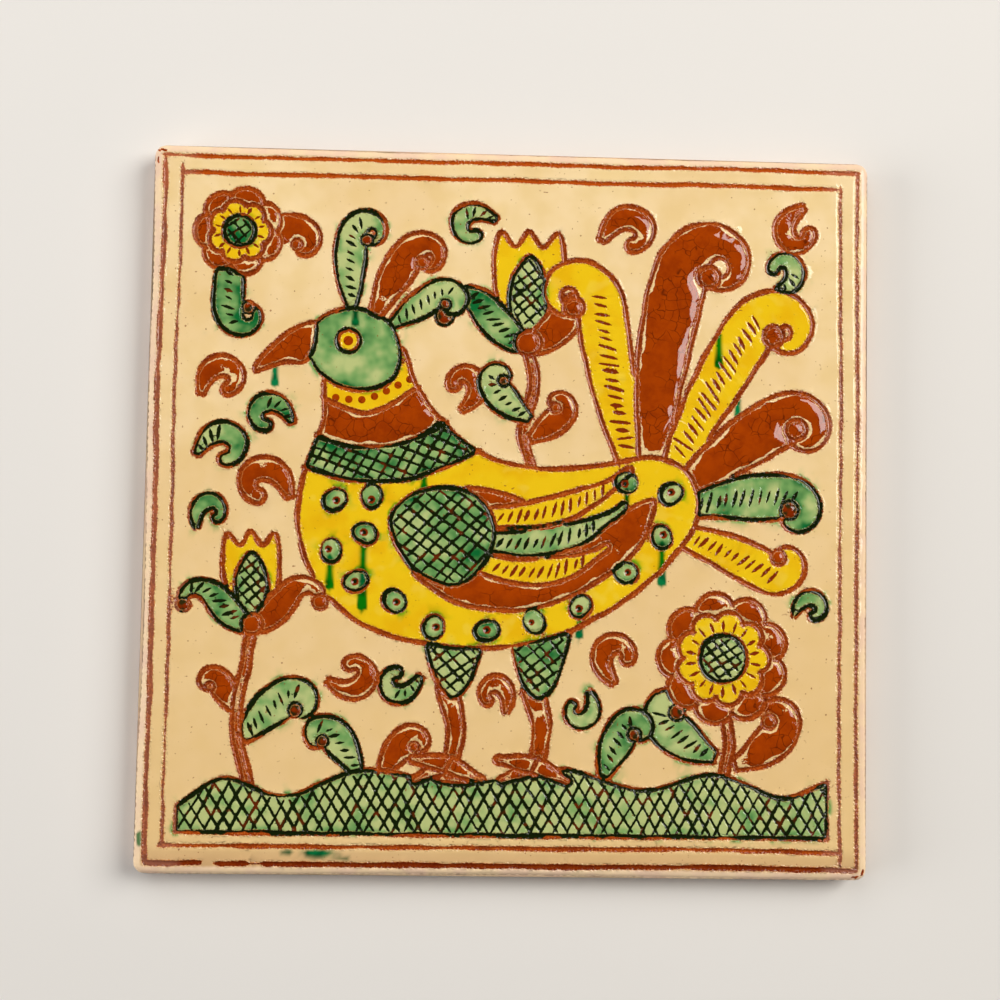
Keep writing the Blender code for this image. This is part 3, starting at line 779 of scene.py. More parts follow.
def triangulated(points, edge):
    # the points of a sheet in triangles, kept inside its edge
    corners = [Vector(point) for point in edge.tolist() + points.tolist()]
    result = geometry.delaunay_2d_cdt(corners, [], [list(range(len(edge)))], 1, 1e-5, False)
    return np.array([tuple(corner) for corner in result[0]]), result[2]


def squareGrid(places):
    return np.stack(np.meshgrid(places, places), axis=-1).reshape(-1, 2)


def foremost(points):
    # the foremost shape at points on the tile, the ring spots counted after the shapes of the picture
    top = topShapes(points / unit)
    for number, line in enumerate(spotLines):
        top[inside(points, line)] = len(shapes) + number
    return top


def paintsAt(points):
    paints = [shape["paint"] for shape in shapes] + ["green"] * len(spotLines) + [""]
    return np.array(paints)[foremost(points)]


def paintShares(points, names, near):
    # how much of each paint lies at the points, softly across the lines
    paints = paintsAt(points)
    around = [paintsAt(points[near] + shift) for shift in ((0.45, 0), (-0.45, 0), (0, 0.45), (0, -0.45))]
    shares = {}
    for name, kinds in names.items():
        shares[name] = np.isin(paints, kinds).astype(float)
        shares[name][near] = np.mean([np.isin(beside, kinds) for beside in around], axis=0)
    return shares


def padWidths(step=0.5):
    # how far the middle of each thick pad lies from its lines, on a square grid
    points = squareGrid(np.arange(-slab["half"], slab["half"] + step, step))
    size = round(math.sqrt(len(points)))
    held = np.isin(paintsAt(points), ("brown", "bud", "ball"))
    widest = np.zeros(len(points))
    widest[held] = nearestIn(lineSamples["tree"], points[held])[1]
    widest, held = widest.reshape(size, size), held.reshape(size, size).astype(float)

    def neighbours(grid):
        wide = np.pad(grid, 1)
        return [wide[i : i + size, j : j + size] for i in range(3) for j in range(3)]

    for _ in range(6):
        widest = np.max(neighbours(widest), axis=0)
    widest *= held
    for _ in range(9):
        widest, held = np.mean(neighbours(widest), axis=0), np.mean(neighbours(held), axis=0)
    return widest / np.maximum(held, 1e-3)


def readGrid(grid, points):
    at = (points + slab["half"]) / (2 * slab["half"]) * (len(grid) - 1)
    low = np.clip(at.astype(int), 0, len(grid) - 2)
    right, up = (at - low).T
    i, j = low[:, 1], low[:, 0]
    below = grid[i, j] * (1 - right) + grid[i, j + 1] * right
    above = grid[i + 1, j] * (1 - right) + grid[i + 1, j + 1] * right
    return below * (1 - up) + above * up


def readStrokes(points, samples, name):
    index, away = nearestIn(samples["tree"], points)
    return {
        name + "Index": index,
        name + "Away": away,
        name + "Half": samples["half"][index],
        name + "Depth": samples["depth"][index],
    }


def blots(points, places, uneven, wavelength, seed):
    # 1 inside uneven ovals, fading out round them
    shares = np.zeros(len(points))
    for centre, radii in places:
        away = np.hypot(*((points - centre) / radii).T) + uneven * waver(points, wavelength, seed)
        shares = np.maximum(shares, np.clip(1.5 - away, 0, 1))
    return shares


def glazeRuns(points):
    # 1 inside the runs of green glaze, which swell towards their lower ends
    shares = np.zeros(len(points))
    for (x, y), length, width in picture["runs"]:
        across = points[:, 0] - x * unit
        fall = y * unit - points[:, 1]
        past = np.maximum(np.maximum(-fall, fall - length), 0)
        swell = width / 2 * (0.72 + 0.4 * np.clip(fall / length, 0, 1) ** 3)
        shares = np.maximum(shares, np.clip(0.5 - (np.hypot(across, past) - swell) / 0.7, 0, 1))
    return shares


def readFace(points):
    # what the face's heights and its finish are worked out from, at each point
    face = readStrokes(points, lineSamples, "line") | readStrokes(points, markSamples, "mark")
    face["inset"] = distanceTo(resampled(np.vstack([border, border[:1]]), 0.1), points)
    face["padWidth"] = readGrid(padWidths(), points)
    face.update(paintShares(points, {
        "brown": ("brown", "ball"),
        "yellow": ("yellow",),
        "green": ("green", "mint"),
        "bud": ("bud",),
        "ball": ("bud", "ball"),
    }, face["lineAway"] < 0.25))
    # slip is laid a little inside its outline, and right up to it on narrow stalks and balls
    face["laidIn"] = np.clip((face["padWidth"] - 1.3) / 1.2, 0, 1) * (1 - face["ball"])
    tones = np.random.default_rng(8).uniform(0, 1, len(shapes) + len(spotLines) + 1)
    face["tone"] = tones[foremost(points)]
    face["worn"] = blots(points, picture["worn"], 0.3, 1.6, 35)
    face["run"] = np.maximum(glazeRuns(points), blots(points, picture["blots"], 0.25, 2.4, 36))
    face["holeAway"] = distanceTo(holeCentres, points)
    face["eyeAway"] = distanceTo(eyeCentre, points)
    face["dotAway"] = distanceTo(dotCentres, points)
    return face


def bump(away, middle, width):
    return np.exp(-((away - middle) / width) ** 2)


def bowl(away, radius):
    return np.clip(1 - (away / radius) ** 2, 0, 1)


def rounded(share):
    return 1 - (1 - share) ** 2


def faceHeights(points, face):
    # every height here is taken from the tile's highest level, so it is 0 or less
    waves = 0.6 * waver(points, 55.0, 21) + 0.25 * waver(points, 16.0, 22)
    ground = -slab["groundDepth"] + slab["groundWaves"] * waves
    ground += 0.018 * waver(points, 5.0, 23)
    fromLine, half = face["lineAway"], face["lineHalf"]
    away = fromLine / half
    # slip stands up where it was laid on thick, in uneven swells, and washes only a little
    lip = half + picture["lip"]
    reach = np.clip(face["padWidth"] + 0.45 * waver(points, 10.0, 28), 1.5, picture["padReach"])
    climb = np.clip((fromLine - lip) / (reach - lip), 0, 1)
    rise = picture["padRise"] * np.clip(reach / 2.7, 0.45, 1) * (1 + 0.16 * waver(points, 13.0, 24))
    pads = np.maximum(face["brown"], face["bud"]) * rounded(climb) * rise
    washes = face["yellow"] * picture["washRise"] + face["green"] * picture["washRise"]
    pads += washes * rounded(np.clip((fromLine - lip) / 2.2, 0, 1))
    # the burr that the tool turned up, uneven along the line
    burr = picture["burr"] * bump(fromLine - half, 0.10, 0.22)
    burr *= np.clip(0.8 + 0.6 * waver(points, 2.6, 25) + 0.4 * waver(points, 12.0, 26), 0, 2)
    crumb = np.random.default_rng(29).normal(0, 0.06, len(points))
    burr += crumb * bump(fromLine - half, 0.05, 0.35)
    groove = face["lineDepth"] * np.clip(1 - away**1.2, 0, 1)
    height = ground + pads + burr - groove
    # scratches stop at the lines
    height -= face["markDepth"] * np.clip(1 - face["markAway"] / face["markHalf"], 0, 1) * (away > 0.9)
    height += picture["markBurr"] * bump(face["markAway"], 0.55, 0.2) * (away > 1.1)
    height -= picture["holeDepth"] * bowl(face["holeAway"], picture["holeRadius"]) ** 0.7
    height += picture["holeBurr"] * bump(face["holeAway"] - picture["holeRadius"], 0.15, 0.25)
    height += picture["dotRise"] * bowl(face["dotAway"], picture["dotFoot"])
    height += picture["eyeRise"] * bowl(face["eyeAway"], picture["eyeFoot"])
    height += picture["runRise"] * face["run"]
    height -= picture["chipDepth"] * np.clip(face["worn"] * 1.3, 0, 1) * np.clip(face["inset"] / 0.9, 0, 1)
    # the rounded shoulder round the face
    radius = slab["shoulderRadius"]
    drop = np.clip(radius - face["inset"], 0, radius)
    shoulder = np.sqrt(np.maximum(radius**2 - drop**2, 0)) - radius
    uneven = 0.05 * waver(points, 7.0, 27) * np.clip(face["inset"] / radius, 0, 1)
    return np.minimum(height + shoulder + uneven, 0.0)


def greenInLines(away=1.25):
    # how much green has run into each line: its paint is read a little way out on both sides
    values = []
    for number, stroke in enumerate(lines):
        side = leftOf(stroke["line"]) * away
        green = np.zeros(len(side))
        for beside in (stroke["line"] + side, stroke["line"] - side):
            green += np.isin(paintsAt(beside), ("green", "mint", "bud")) * 0.5
        values.append(smoothed(green * (0.5 if number < frameCount else 1), 6))
    green = np.concatenate(values)
    uneven = 0.42 * waver(lineSamples["line"], 13.0, 31) + 0.1
    return np.clip(green * 1.5 + (green > 0.02) * uneven, 0, 1)


def strayGreen(points, face):
    # a little green strays over the lines round the leaves
    held = (face["green"] > 0.5) & (face["lineAway"] > face["lineHalf"])
    away = distanceTo(points[held], points)
    stray = np.clip(1 - (away - 1.3) / 1.5, 0, 1) * np.clip(1.5 * waver(points, 11.0, 33) + 0.1, 0, 1)
    return stray * (1 - face["green"]) * (face["brown"] < 0.5) * 0.8


# The tile as one closed piece

def addObject(name, data):
    made = bpy.data.objects.new(name, data)
    bpy.context.scene.collection.objects.link(made)
    return made


def readMesh(items, name, width=1, kind=float):
    values = np.empty(len(items) * width, kind)
    items.foreach_get(name, values)
    return values.reshape(-1, width) if width > 1 else values


def laySheet(form, points, heights, triangles):
    places = np.column_stack([points, heights]) * mm
    verts = [form.verts.new(place) for place in places.tolist()]
    for corners in triangles:
        form.faces.new([verts[corner] for corner in corners])


def addSides(form, rim):
    tree = searchTree(border)
    heights = [*slab["sideHeights"], 0.2, 0.0]
    insets = [0.0] * len(slab["sideHeights"]) + [slab["backEdge"] * 0.35, slab["backEdge"]]
    for number, (height, inset) in enumerate(zip(heights, insets)):
        made = bmesh.ops.extrude_edge_only(form, edges=rim)["geom"]
        rim = [part for part in made if isinstance(part, bmesh.types.BMEdge) and part.is_boundary]
        verts = [part for part in made if isinstance(part, bmesh.types.BMVert)]
        index = nearestIn(tree, np.array([vert.co[:2] for vert in verts]) / mm)[0]
        dent = slab["sideDents"] * (0.5 + 0.5 * waver(border + number * 7.0, 9.0, 71 + number))
        for vert, place in zip(verts, index):
            x, y = border[place] + borderIn[place] * (inset + dent[place])
            vert.co = (x * mm, y * mm, height * mm)
    return rim


def keyDrift(across, level):
    # the grooves on the back aren't quite straight
    return slab["keySway"] * waver(np.column_stack([across, across * 0 + level]), 30.0, 92)


def addBack(form, rim):
    corners = {vert for edge in rim for vert in edge.verts}
    ordered = sorted(corners, key=lambda vert: math.atan2(vert.co.y, vert.co.x))
    edge = np.array([vert.co[:2] for vert in ordered]) / mm
    points = squareGrid(np.arange(-slab["backReach"], slab["backReach"] + 0.1, slab["backStep"]))
    points = points + np.random.default_rng(91).uniform(-0.5, 0.5, points.shape)
    reach = slab["keyReach"]
    steps = [slab["keyFirst"] + number * slab["keyStep"] for number in range(slab["keyCount"])]
    levels = [side * step for side in (-1, 1) for step in steps]
    for level in levels:
        points = points[np.abs(points[:, 1] - level) > slab["keyClear"]]
    across = np.arange(-reach - 1, reach + 1.1, 2.0)
    for level in levels:
        key = level + keyDrift(across, level)
        points = np.vstack([points] + [np.column_stack([across, key + off]) for off in slab["keyRows"]])
    flat, triangles = triangulated(points, edge)
    height = np.maximum(slab["backWaves"] * (1 + waver(flat, 24.0, 93)) + 0.03 * waver(flat, 6.0, 94), 0)
    for level in levels:
        pastEnd = np.maximum(np.abs(flat[:, 0]) - reach, 0)
        away = np.hypot(pastEnd, flat[:, 1] - level - keyDrift(flat[:, 0], level))
        height += slab["keyDepth"] * bowl(away, slab["keyHalf"])
    fromEdge = slab["half"] - slab["backEdge"] - np.abs(flat).max(axis=1)
    height *= np.clip(fromEdge / 3.0, 0, 1)
    height[distanceTo(edge, flat) < 1e-4] = 0.0
    laySheet(form, flat, height, triangles)


def layFields(mesh, points, values):
    # every point of the mesh takes the values of the nearest point of the face
    nearest = nearestIn(searchTree(points), readMesh(mesh.vertices, "co", 3)[:, :2] / mm)[0]
    for name, columns in values.items():
        laid = np.column_stack(columns)[nearest]
        mesh.attributes.new(name, "FLOAT_VECTOR", "POINT").data.foreach_set("vector", laid.ravel())


def buildTile():
    points, triangles = triangulated(chosenPoints(), border)
    print(f"face laid out: {len(points)} points, {len(triangles)} triangles")
    face = readFace(points)
    form = bmesh.new()
    laySheet(form, points, slab["top"] + faceHeights(points, face), triangles)
    rim = addSides(form, [edge for edge in form.edges if edge.is_boundary])
    addBack(form, rim)
    bmesh.ops.remove_doubles(form, verts=form.verts, dist=2e-6)
    bmesh.ops.recalc_face_normals(form, faces=form.faces)
    mesh = bpy.data.meshes.new("glazedTileRelief")
    form.to_mesh(mesh)
    form.free()
    mesh.shade_smooth()
    dots = np.minimum(face["dotAway"] - picture["dotRadius"], face["eyeAway"] - picture["eyeRadius"])
    lineGap, markGap = face["lineAway"] - face["lineHalf"], face["markAway"] - face["markHalf"]
    layFields(mesh, points, {
        "lineField": (lineGap, markGap, greenInLines()[face["lineIndex"]]),
        "paintField": (face["brown"], face["yellow"], face["green"]),
        "spotField": (face["holeAway"] - picture["holeRadius"], dots, face["laidIn"]),
        "washField": (face["tone"], face["run"], strayGreen(points, face)),
        "rimField": (face["inset"], face["worn"], face["bud"]),
    })
    return addObject("glazedTileRelief", mesh)


tile = buildTile()
print(f"tile made: {len(tile.data.polygons)} faces")


# The finish. Colours are as they look on screen, from 0 to 255

glaze = {
    "creamLight": (246, 218, 168),
    "cream": (239, 209, 151),
    "creamWarm": (231, 194, 134),
    # painted shade along the bottom edge of the cream ground
    "creamShaded": (200, 158, 112),
    "speck": (140, 76, 30),
    "yellow": (238, 196, 22),
    "yellowDeep": (230, 172, 8),
    "yellowPale": (240, 212, 84),
    "mint": (186, 196, 128),
    "green": (120, 164, 94),
    "greenDeep": (14, 104, 48),
    "stray": (112, 206, 150),
    "run": (8, 150, 116),
    "runDeep": (0, 116, 90),
    "brown": (165, 62, 0),
    "brownDark": (132, 41, 0),
    "crack": (84, 24, 0),
    "clay": (174, 74, 16),
    "clayDark": (128, 44, 8),
    # painted shade, painted light and a paler painted light for the frame lines
    "clayShaded": (100, 24, 0),
    "clayLit": (196, 84, 16),
    "clayPaleLit": (186, 136, 112),
    "lineGreen": (19, 29, 4),
    "olive": (48, 40, 10),
    "lip": (206, 122, 58),
    "rim": (245, 216, 176),
    "rimPink": (238, 204, 176),
    "terracotta": (170, 92, 56),
    "terracottaDark": (128, 60, 34),
    "roughness": 0.32,
    "coatRoughness": 0.04,
    "clayRoughness": 0.78,
}


# Tools for materials

sheet = {}       # the node tree that is being made, and the place on the piece as its materials read it


def setInputs(node, values):
    for name, value in values.items():
        if isinstance(value, bpy.types.NodeSocket):
            sheet["tree"].links.new(value, node.inputs[name])
        else:
            node.inputs[name].default_value = value
    return node


def addNode(kind, inputs, **settings):
    made = sheet["tree"].nodes.new("ShaderNode" + kind)
    for name, value in settings.items():
        setattr(made, name, value)
    return setInputs(made, inputs)


def calculate(operation, *values):
    return addNode("Math", dict(enumerate(values)), operation=operation).outputs[0]


def plus(first, second):
    return calculate("ADD", first, second)


def minus(first, second):
    return calculate("SUBTRACT", first, second)


def times(first, second):
    return calculate("MULTIPLY", first, second)


def timesPlus(first, second, third):
    return calculate("MULTIPLY_ADD", first, second, third)


def fade(value, low, high, bottom=0.0, top=1.0):
    # goes softly from bottom to top as the value goes from low to high
    inputs = {"Value": value, "From Min": low, "From Max": high, "To Min": bottom, "To Max": top}
    return addNode("MapRange", inputs, interpolation_type="SMOOTHSTEP").outputs[0]


def colourOf(value):
    # a colour of the glaze by its name, or what is already a colour or a socket
    if not isinstance(value, str):
        return value
    share = np.array(glaze[value], float) / 255
    linear = np.where(share <= 0.04045, share / 12.92, ((share + 0.055) / 1.055) ** 2.4)
    return (*linear.tolist(), 1.0)


def mixed(share, first, second, blend="MIX"):
    inputs = {0: share, 6: colourOf(first), 7: colourOf(second)}
    return addNode("Mix", inputs, data_type="RGBA", blend_type=blend).outputs[2]


def noise(size, detail=0.0, rough=0.5, output=0):
    # size is the width of its patches in mm
    inputs = {"Vector": sheet["place"], "Scale": 1 / (size * mm), "Detail": detail, "Roughness": rough}
    return addNode("TexNoise", inputs).outputs[output]


def parts(vector):
    return addNode("SeparateXYZ", {0: vector}).outputs


def field(name):
    return parts(addNode("Attribute", {}, attribute_name=name).outputs["Vector"])


def bumped(height):
    return addNode("Bump", {"Height": height, "Distance": mm, "Strength": 1.0}).outputs[0]


def newMaterial(name):
    material = bpy.data.materials.new(name)
    material.use_nodes = True
    sheet["tree"] = material.node_tree
    sheet["place"] = addNode("TexCoord", {}).outputs["Object"]
    return material, material.node_tree.nodes["Principled BSDF"]


# The picture's face. The functions share the fields laid on the mesh and a few patterns, kept in "at"

def facePatterns():
    at = SimpleNamespace()
    at.lineGap, at.markGap, at.greenInLine = field("lineField")
    at.brown, at.yellow, at.green = field("paintField")
    at.holeGap, at.dotGap, at.laidIn = field("spotField")
    at.tone, at.run, at.stray = field("washField")
    at.inset, at.worn, at.bud = field("rimField")
    at.sideways, at.upward, _ = parts(sheet["place"])       # in metres
    at.fine = minus(noise(0.5, 1.0), 0.5)
    at.middle = minus(noise(1.6, 1.0), 0.5)
    at.broad = noise(9.0, 2.0)
    # how ragged the lines' edges are
    at.rag = timesPlus(at.fine, 0.55, times(at.middle, 0.34))
    at.rag = plus(at.rag, fade(noise(11.0), 0.58, 0.76, 0.0, 0.24))
    at.ragGap = plus(at.lineGap, at.rag)
    return at


def creamGround(at):
    # painted shade: warmer and darker towards the bottom, and darkest along the bottom edge
    colour = mixed(fade(at.broad, 0.3, 0.7), "cream", "creamLight")
    colour = mixed(fade(noise(34.0), 0.42, 0.75, 0.0, 0.35), colour, "creamWarm")
    # painted shade, darker towards the bottom
    colour = mixed(fade(at.upward, -0.10, 0.10, 0.75, 0.0), colour, "creamWarm")
    return mixed(fade(at.upward, -0.0975, -0.090, 0.75, 0.0), colour, "creamShaded")


def yellowWash(at):
    # pale in places and deep in others
    colour = mixed(fade(at.broad, 0.42, 0.68, 0.0, 0.6), "yellow", "yellowDeep")
    return mixed(fade(noise(5.0, 1.0, 0.6), 0.56, 0.74, 0.0, 0.3), colour, "yellowPale")


def greenGlaze(at):
    # deep where it pooled
    pool = plus(noise(7.0, 2.0, 0.55), times(at.tone, 0.26))
    pool = plus(pool, fade(at.lineGap, 0.0, 2.0, 0.07, -0.02))
    colour = mixed(fade(pool, 0.47, 0.74), "mint", "green")
    return mixed(fade(pool, 0.68, 0.92), colour, "greenDeep")


def stained(at, colour):
    # fine brown specks and stains in the glaze, strayed green, and runs and blots of green
    speck = fade(timesPlus(at.broad, 0.14, noise(0.8)), 0.875, 0.93)
    colour = mixed(times(speck, 0.75), colour, "speck")
    stain = fade(noise(1.5, 1.0), 0.755, 0.85)
    colour = mixed(times(stain, 0.45), colour, "speck")
    stray = times(at.stray, fade(noise(2.5), 0.25, 0.55))
    colour = mixed(fade(stray, 0.0, 0.8), colour, "stray", "MULTIPLY")
    run = mixed(fade(noise(3.0), 0.4, 0.65), "run", "runDeep")
    return mixed(fade(at.run, 0.0, 0.9), colour, run, "MULTIPLY")


def brownSlip():
    # crazed in patches
    shifted = mixed(0.0012, sheet["place"], noise(2.0, output=1), "ADD")
    cells = addNode("TexVoronoi", {"Vector": shifted, "Scale": 330.0}, feature="DISTANCE_TO_EDGE")
    crack = times(fade(cells.outputs[0], 0.0, 0.045, 1.0, 0.0), fade(noise(6.0), 0.44, 0.56))
    colour = mixed(fade(noise(3.5, 2.0, 0.6), 0.35, 0.75, 0.0, 0.6), "brown", "brownDark")
    return mixed(times(crack, 0.8), colour, "crack")


def withSlip(at, colour, slip):
    # slip lies a little inside its outline on the larger forms
    inward = times(at.laidIn, fade(noise(5.0), 0.38, 0.80, 0.0, 0.85))
    onPad = fade(minus(at.ragGap, inward), 0.0, 0.12)
    colour = mixed(times(fade(at.brown, 0.45, 0.55), onPad), colour, slip)
    budSlip = mixed(fade(noise(2.2), 0.40, 0.60), "brownDark", "olive")
    return mixed(times(fade(at.bud, 0.45, 0.55), onPad), colour, budSlip)


def cutClay(at):
    colour = mixed(fade(noise(5.0, 1.0), 0.40, 0.68, 0.0, 0.8), "clay", "clayDark")
    # painted shade: darker towards the line's edges, on its walls, lighter along its middle
    colour = mixed(fade(at.lineGap, -0.38, -0.05, 0.0, 0.5), colour, "clayDark")
    colour = mixed(fade(at.fine, -0.12, 0.02, 0.55, 0.0), colour, "clayDark")
    colour = mixed(fade(at.fine, 0.06, 0.18, 0.0, 0.45), colour, "lip")
    # painted light and shade on the frame lines: brighter along the top, darker along the bottom, and paler
    # and pinker at the sides
    colour = mixed(fade(at.upward, 0.086, 0.090, 0.0, 0.6), colour, "clayLit")
    colour = mixed(fade(at.upward, -0.0962, -0.0940, 0.7, 0.0), colour, "clayShaded")
    outward = calculate("ABSOLUTE", at.sideways)
    return mixed(fade(outward, 0.086, 0.090, 0.0, 0.30), colour, "clayPaleLit")


def withLines(at, colour):
    # the torn lips, the scratches, and the cut lines with the green that ran into them
    inkLevel = timesPlus(minus(at.green, 0.5), 0.75, at.greenInLine)
    inkLevel = timesPlus(at.middle, 0.8, timesPlus(at.fine, 0.3, inkLevel))
    lipShare = times(fade(at.ragGap, 0.02, 0.32, 1.0, 0.0), fade(noise(2.6), 0.35, 0.65, 0.5, 0.95))
    lip = mixed(fade(inkLevel, 0.5, 1.0, 0.0, 0.6), "lip", "green")
    colour = mixed(lipShare, colour, lip)
    greenInk = mixed(fade(noise(3.0), 0.62, 0.78, 0.0, 0.6), "lineGreen", "clayDark")
    scratchInk = mixed(fade(at.green, 0.35, 0.65), "clayDark", greenInk)
    scratch = fade(timesPlus(at.fine, 0.40, at.markGap), -0.08, 0.06, 1.0, 0.0)
    colour = mixed(scratch, colour, scratchInk)
    inked = mixed(fade(inkLevel, 0.42, 0.62), cutClay(at), "lineGreen")
    return mixed(fade(at.ragGap, -0.05, 0.07, 1.0, 0.0), colour, inked)


def withRounds(at, colour, slip):
    # the ring spots' holes, the painted dots and the eye
    hole = plus(at.holeGap, at.rag)
    colour = mixed(fade(hole, -0.02, 0.28, 1.0, 0.0), colour, "brownDark")
    colour = mixed(fade(hole, -0.5, -0.25, 1.0, 0.0), colour, "lineGreen")
    return mixed(fade(at.dotGap, -0.05, 0.08, 1.0, 0.0), colour, slip)


def withRim(at, colour):
    # the rim, where plain slip shows, with its worn places and the blots of green on it
    rim = mixed(fade(at.broad, 0.35, 0.65), "rim", "rimPink")
    onRim = fade(plus(at.inset, times(at.middle, 0.5)), 1.6, 2.7, 1.0, 0.0)
    colour = mixed(times(onRim, fade(at.ragGap, 0.0, 0.15)), colour, rim)
    bare = fade(timesPlus(at.fine, 0.7, at.worn), 0.42, 0.60)
    colour = mixed(bare, colour, mixed(fade(at.middle, -0.1, 0.1), "clay", "clayDark"))
    return mixed(times(fade(at.run, 0.2, 0.8, 0.0, 0.9), onRim), colour, "greenDeep")


def fineRelief(at):
    # crumbs of clay in the lines and scratches, and faint waves in the glaze
    torn = times(fade(at.lineGap, 0.1, 0.55, 1.0, 0.0), fade(at.lineGap, -0.5, -0.1))
    scratched = fade(at.markGap, 0.0, 0.3, 1.0, 0.0)
    rough = calculate("MAXIMUM", torn, times(scratched, 0.25))
    crumbs = timesPlus(at.fine, 0.6, minus(noise(0.9), 0.5))
    return plus(times(times(crumbs, rough), 0.60), times(noise(2.4), 0.012))


def glazedFace():
    material, shader = newMaterial("glazedPictureFace")
    at = facePatterns()
    slip = brownSlip()
    colour = mixed(fade(at.yellow, 0.35, 0.65), creamGround(at), yellowWash(at))
    colour = mixed(fade(at.green, 0.35, 0.65), colour, greenGlaze(at))
    colour = withSlip(at, stained(at, colour), slip)
    colour = withRounds(at, withLines(at, colour), slip)
    normal = bumped(fineRelief(at))
    setInputs(shader, {
        "Base Color": withRim(at, colour),
        "Roughness": glaze["roughness"],
        "Specular IOR Level": 0.0,      # the glaze above it does the shining
        "Coat Weight": fade(at.inset, 0.9, 2.0, 0.25, 1.0),
        "Coat Roughness": glaze["coatRoughness"],
        "Normal": normal,
        "Coat Normal": normal,
    })
    return material


def bareClay():
    # the back, and the sides with their slip down to a wavy edge
    material, shader = newMaterial("biscuitBack")
    grain = noise(0.5, 3.0, 0.6)
    patch = noise(12.0, 4.0, 0.6)
    clay = mixed(fade(patch, 0.35, 0.65), "terracotta", "terracottaDark")
    clay = mixed(fade(grain, 0.62, 0.72, 0.0, 0.6), clay, "rimPink")
    slip = mixed(fade(patch, 0.35, 0.65), "rim", "rimPink")
    level = plus(parts(sheet["place"])[2], times(minus(patch, 0.5), 6 * mm))
    setInputs(shader, {
        "Base Color": mixed(fade(level, 1.2 * mm, 2.2 * mm), clay, slip),
        "Roughness": glaze["clayRoughness"],
        "Normal": bumped(plus(times(grain, 0.05), times(patch, 0.2))),
    })
    return material


# One flat map for the bake, in shares of its width: the face in a large square, the four sides above it
# and the back beside it
flatMap = {"edge": 0.01, "face": 0.78, "back": 0.18, "backFrom": 0.81, "sidesFrom": 0.80, "sideStep": 0.045}


def layFlatMap(mesh):
    sizes = readMesh(mesh.polygons, "loop_total", kind=int)
    owner = np.repeat(np.arange(len(sizes)), sizes)
    corners = readMesh(mesh.loops, "vertex_index", kind=int)
    x, y, z = readMesh(mesh.vertices, "co", 3)[corners].T / mm
    middleX, middleY, _ = readMesh(mesh.polygons, "center", 3)[owner].T
    onFace = readMesh(mesh.polygons, "material_index", kind=int)[owner] == 0
    onBack = readMesh(mesh.polygons, "normal", 3)[owner, 2] < -0.7
    side = np.argmax([-middleY, middleX, middleY, -middleX], axis=0)
    along = np.choose(side, [x, y, -x, -y])
    half, edge = slab["half"], flatMap["edge"]
    large, small = flatMap["face"] / (2 * half), flatMap["back"] / (2 * half)
    faceUV = (edge + (x + half) * large, edge + (y + half) * large)
    backUV = (flatMap["backFrom"] + (half - x) * small, edge + (y + half) * small)
    sideUV = (edge + (along + half) * large, flatMap["sidesFrom"] + flatMap["sideStep"] * side + z * large)
    uv = [np.select([onFace, onBack], [faceUV[axis], backUV[axis]], sideUV[axis]) for axis in (0, 1)]
    mesh.uv_layers.new(name="OFBake").data.foreach_set("uv", np.column_stack(uv).ravel())


tile.data.materials.append(glazedFace())
tile.data.materials.append(bareClay())
for polygon in tile.data.polygons:
    polygon.material_index = 0 if polygon.center.z > slab["faceFloor"] * mm else 1
layFlatMap(tile.data)
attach(tile, "root")
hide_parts(slab["node"])
print("materials made")


# Floor, light and camera, with their places and sizes in metres

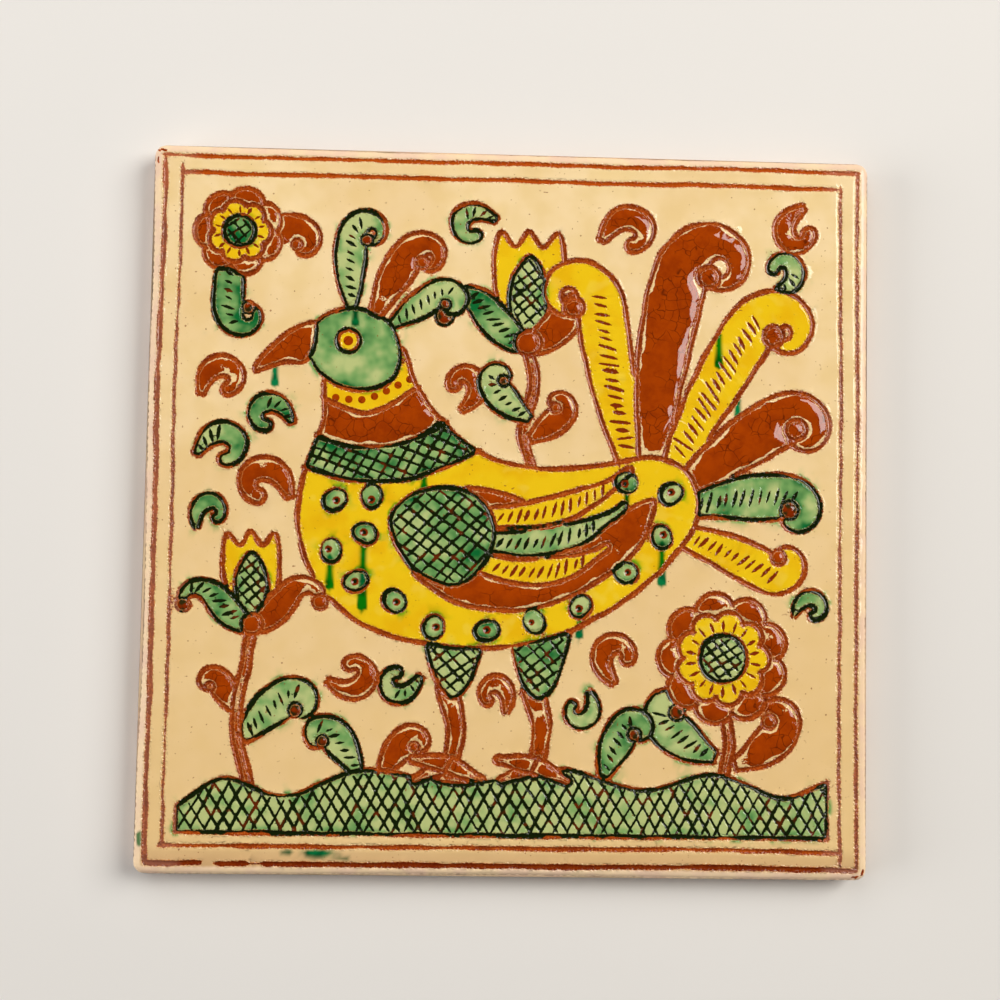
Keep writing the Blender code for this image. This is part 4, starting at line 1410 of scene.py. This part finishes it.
studio = {
    "floorHalf": 1.5,
    "floorLevel": -0.0002,
    "floorColour": (0.78, 0.76, 0.73, 1.0),
    "floorRoughness": 0.9,
    "skyColour": (1.0, 0.98, 0.95, 1.0),
    "skyStrength": 0.03,
    "wallStrength": 0.62,
    "lens": 54.0,
    "sensorWidth": 36.0,
    "cameraPlace": (-0.01795, -0.0223, 0.42078),
    "cameraTurn": (3.442, -2.202, 0.972),
    # the place, the width and height, the power and the colour; every lamp faces the tile
    "lamps": {
        "windowLight": ((1.365, 0.635, 1.33), (1.20, 1.32), 41.0, (1.0, 0.96, 0.90)),
        "ceilingLight": ((-0.35, 0.62, 0.75), (0.9, 0.9), 3.7, (0.98, 0.98, 1.0)),
        "sideLight": ((-1.5, -0.1, 0.5), (1.2, 0.8), 17.0, (1.0, 0.98, 0.96)),
    },
}


def makeFloor():
    form = bmesh.new()
    bmesh.ops.create_grid(form, x_segments=1, y_segments=1, size=studio["floorHalf"])
    bmesh.ops.translate(form, vec=(0, 0, studio["floorLevel"]), verts=form.verts)
    mesh = bpy.data.meshes.new("studioFloor")
    form.to_mesh(mesh)
    form.free()
    material, shader = newMaterial("paleFloor")
    setInputs(shader, {"Base Color": studio["floorColour"], "Roughness": studio["floorRoughness"]})
    mesh.materials.append(material)
    floor = addObject("studioFloor", mesh)


def makeSky():
    # the wall behind the floor is pale, and gives only a little light
    world = bpy.data.worlds.new("softSky")
    world.use_nodes = True
    sheet["tree"] = world.node_tree
    seen = addNode("LightPath", {}).outputs["Is Camera Ray"]
    levels = {"Value": seen, "To Min": studio["skyStrength"], "To Max": studio["wallStrength"]}
    strength = addNode("MapRange", levels).outputs[0]
    setInputs(world.node_tree.nodes["Background"], {"Color": studio["skyColour"], "Strength": strength})
    bpy.context.scene.world = world


def makeLamps():
    for name, (place, size, power, colour) in studio["lamps"].items():
        light = bpy.data.lights.new(name, "AREA")
        light.shape = "RECTANGLE"
        light.size, light.size_y = size
        light.energy = power
        light.color = colour
        lamp = addObject(name, light)
        lamp.location = place
        lamp.rotation_euler = (-Vector(place)).to_track_quat("-Z", "Y").to_euler()
        lamp.visible_glossy = name == "windowLight"     # only the window shows as a reflection in the glaze


def makeCamera():
    data = bpy.data.cameras.new("photoCamera")
    data.lens = studio["lens"]
    data.sensor_width = studio["sensorWidth"]
    data.clip_start = 0.01
    camera = addObject("photoCamera", data)
    camera.location = studio["cameraPlace"]
    camera.rotation_euler = [math.radians(angle) for angle in studio["cameraTurn"]]
    bpy.context.scene.camera = camera


makeFloor()
makeSky()
makeLamps()
makeCamera()
bpy.context.scene.view_settings.view_transform = "Standard"
print("studio set")
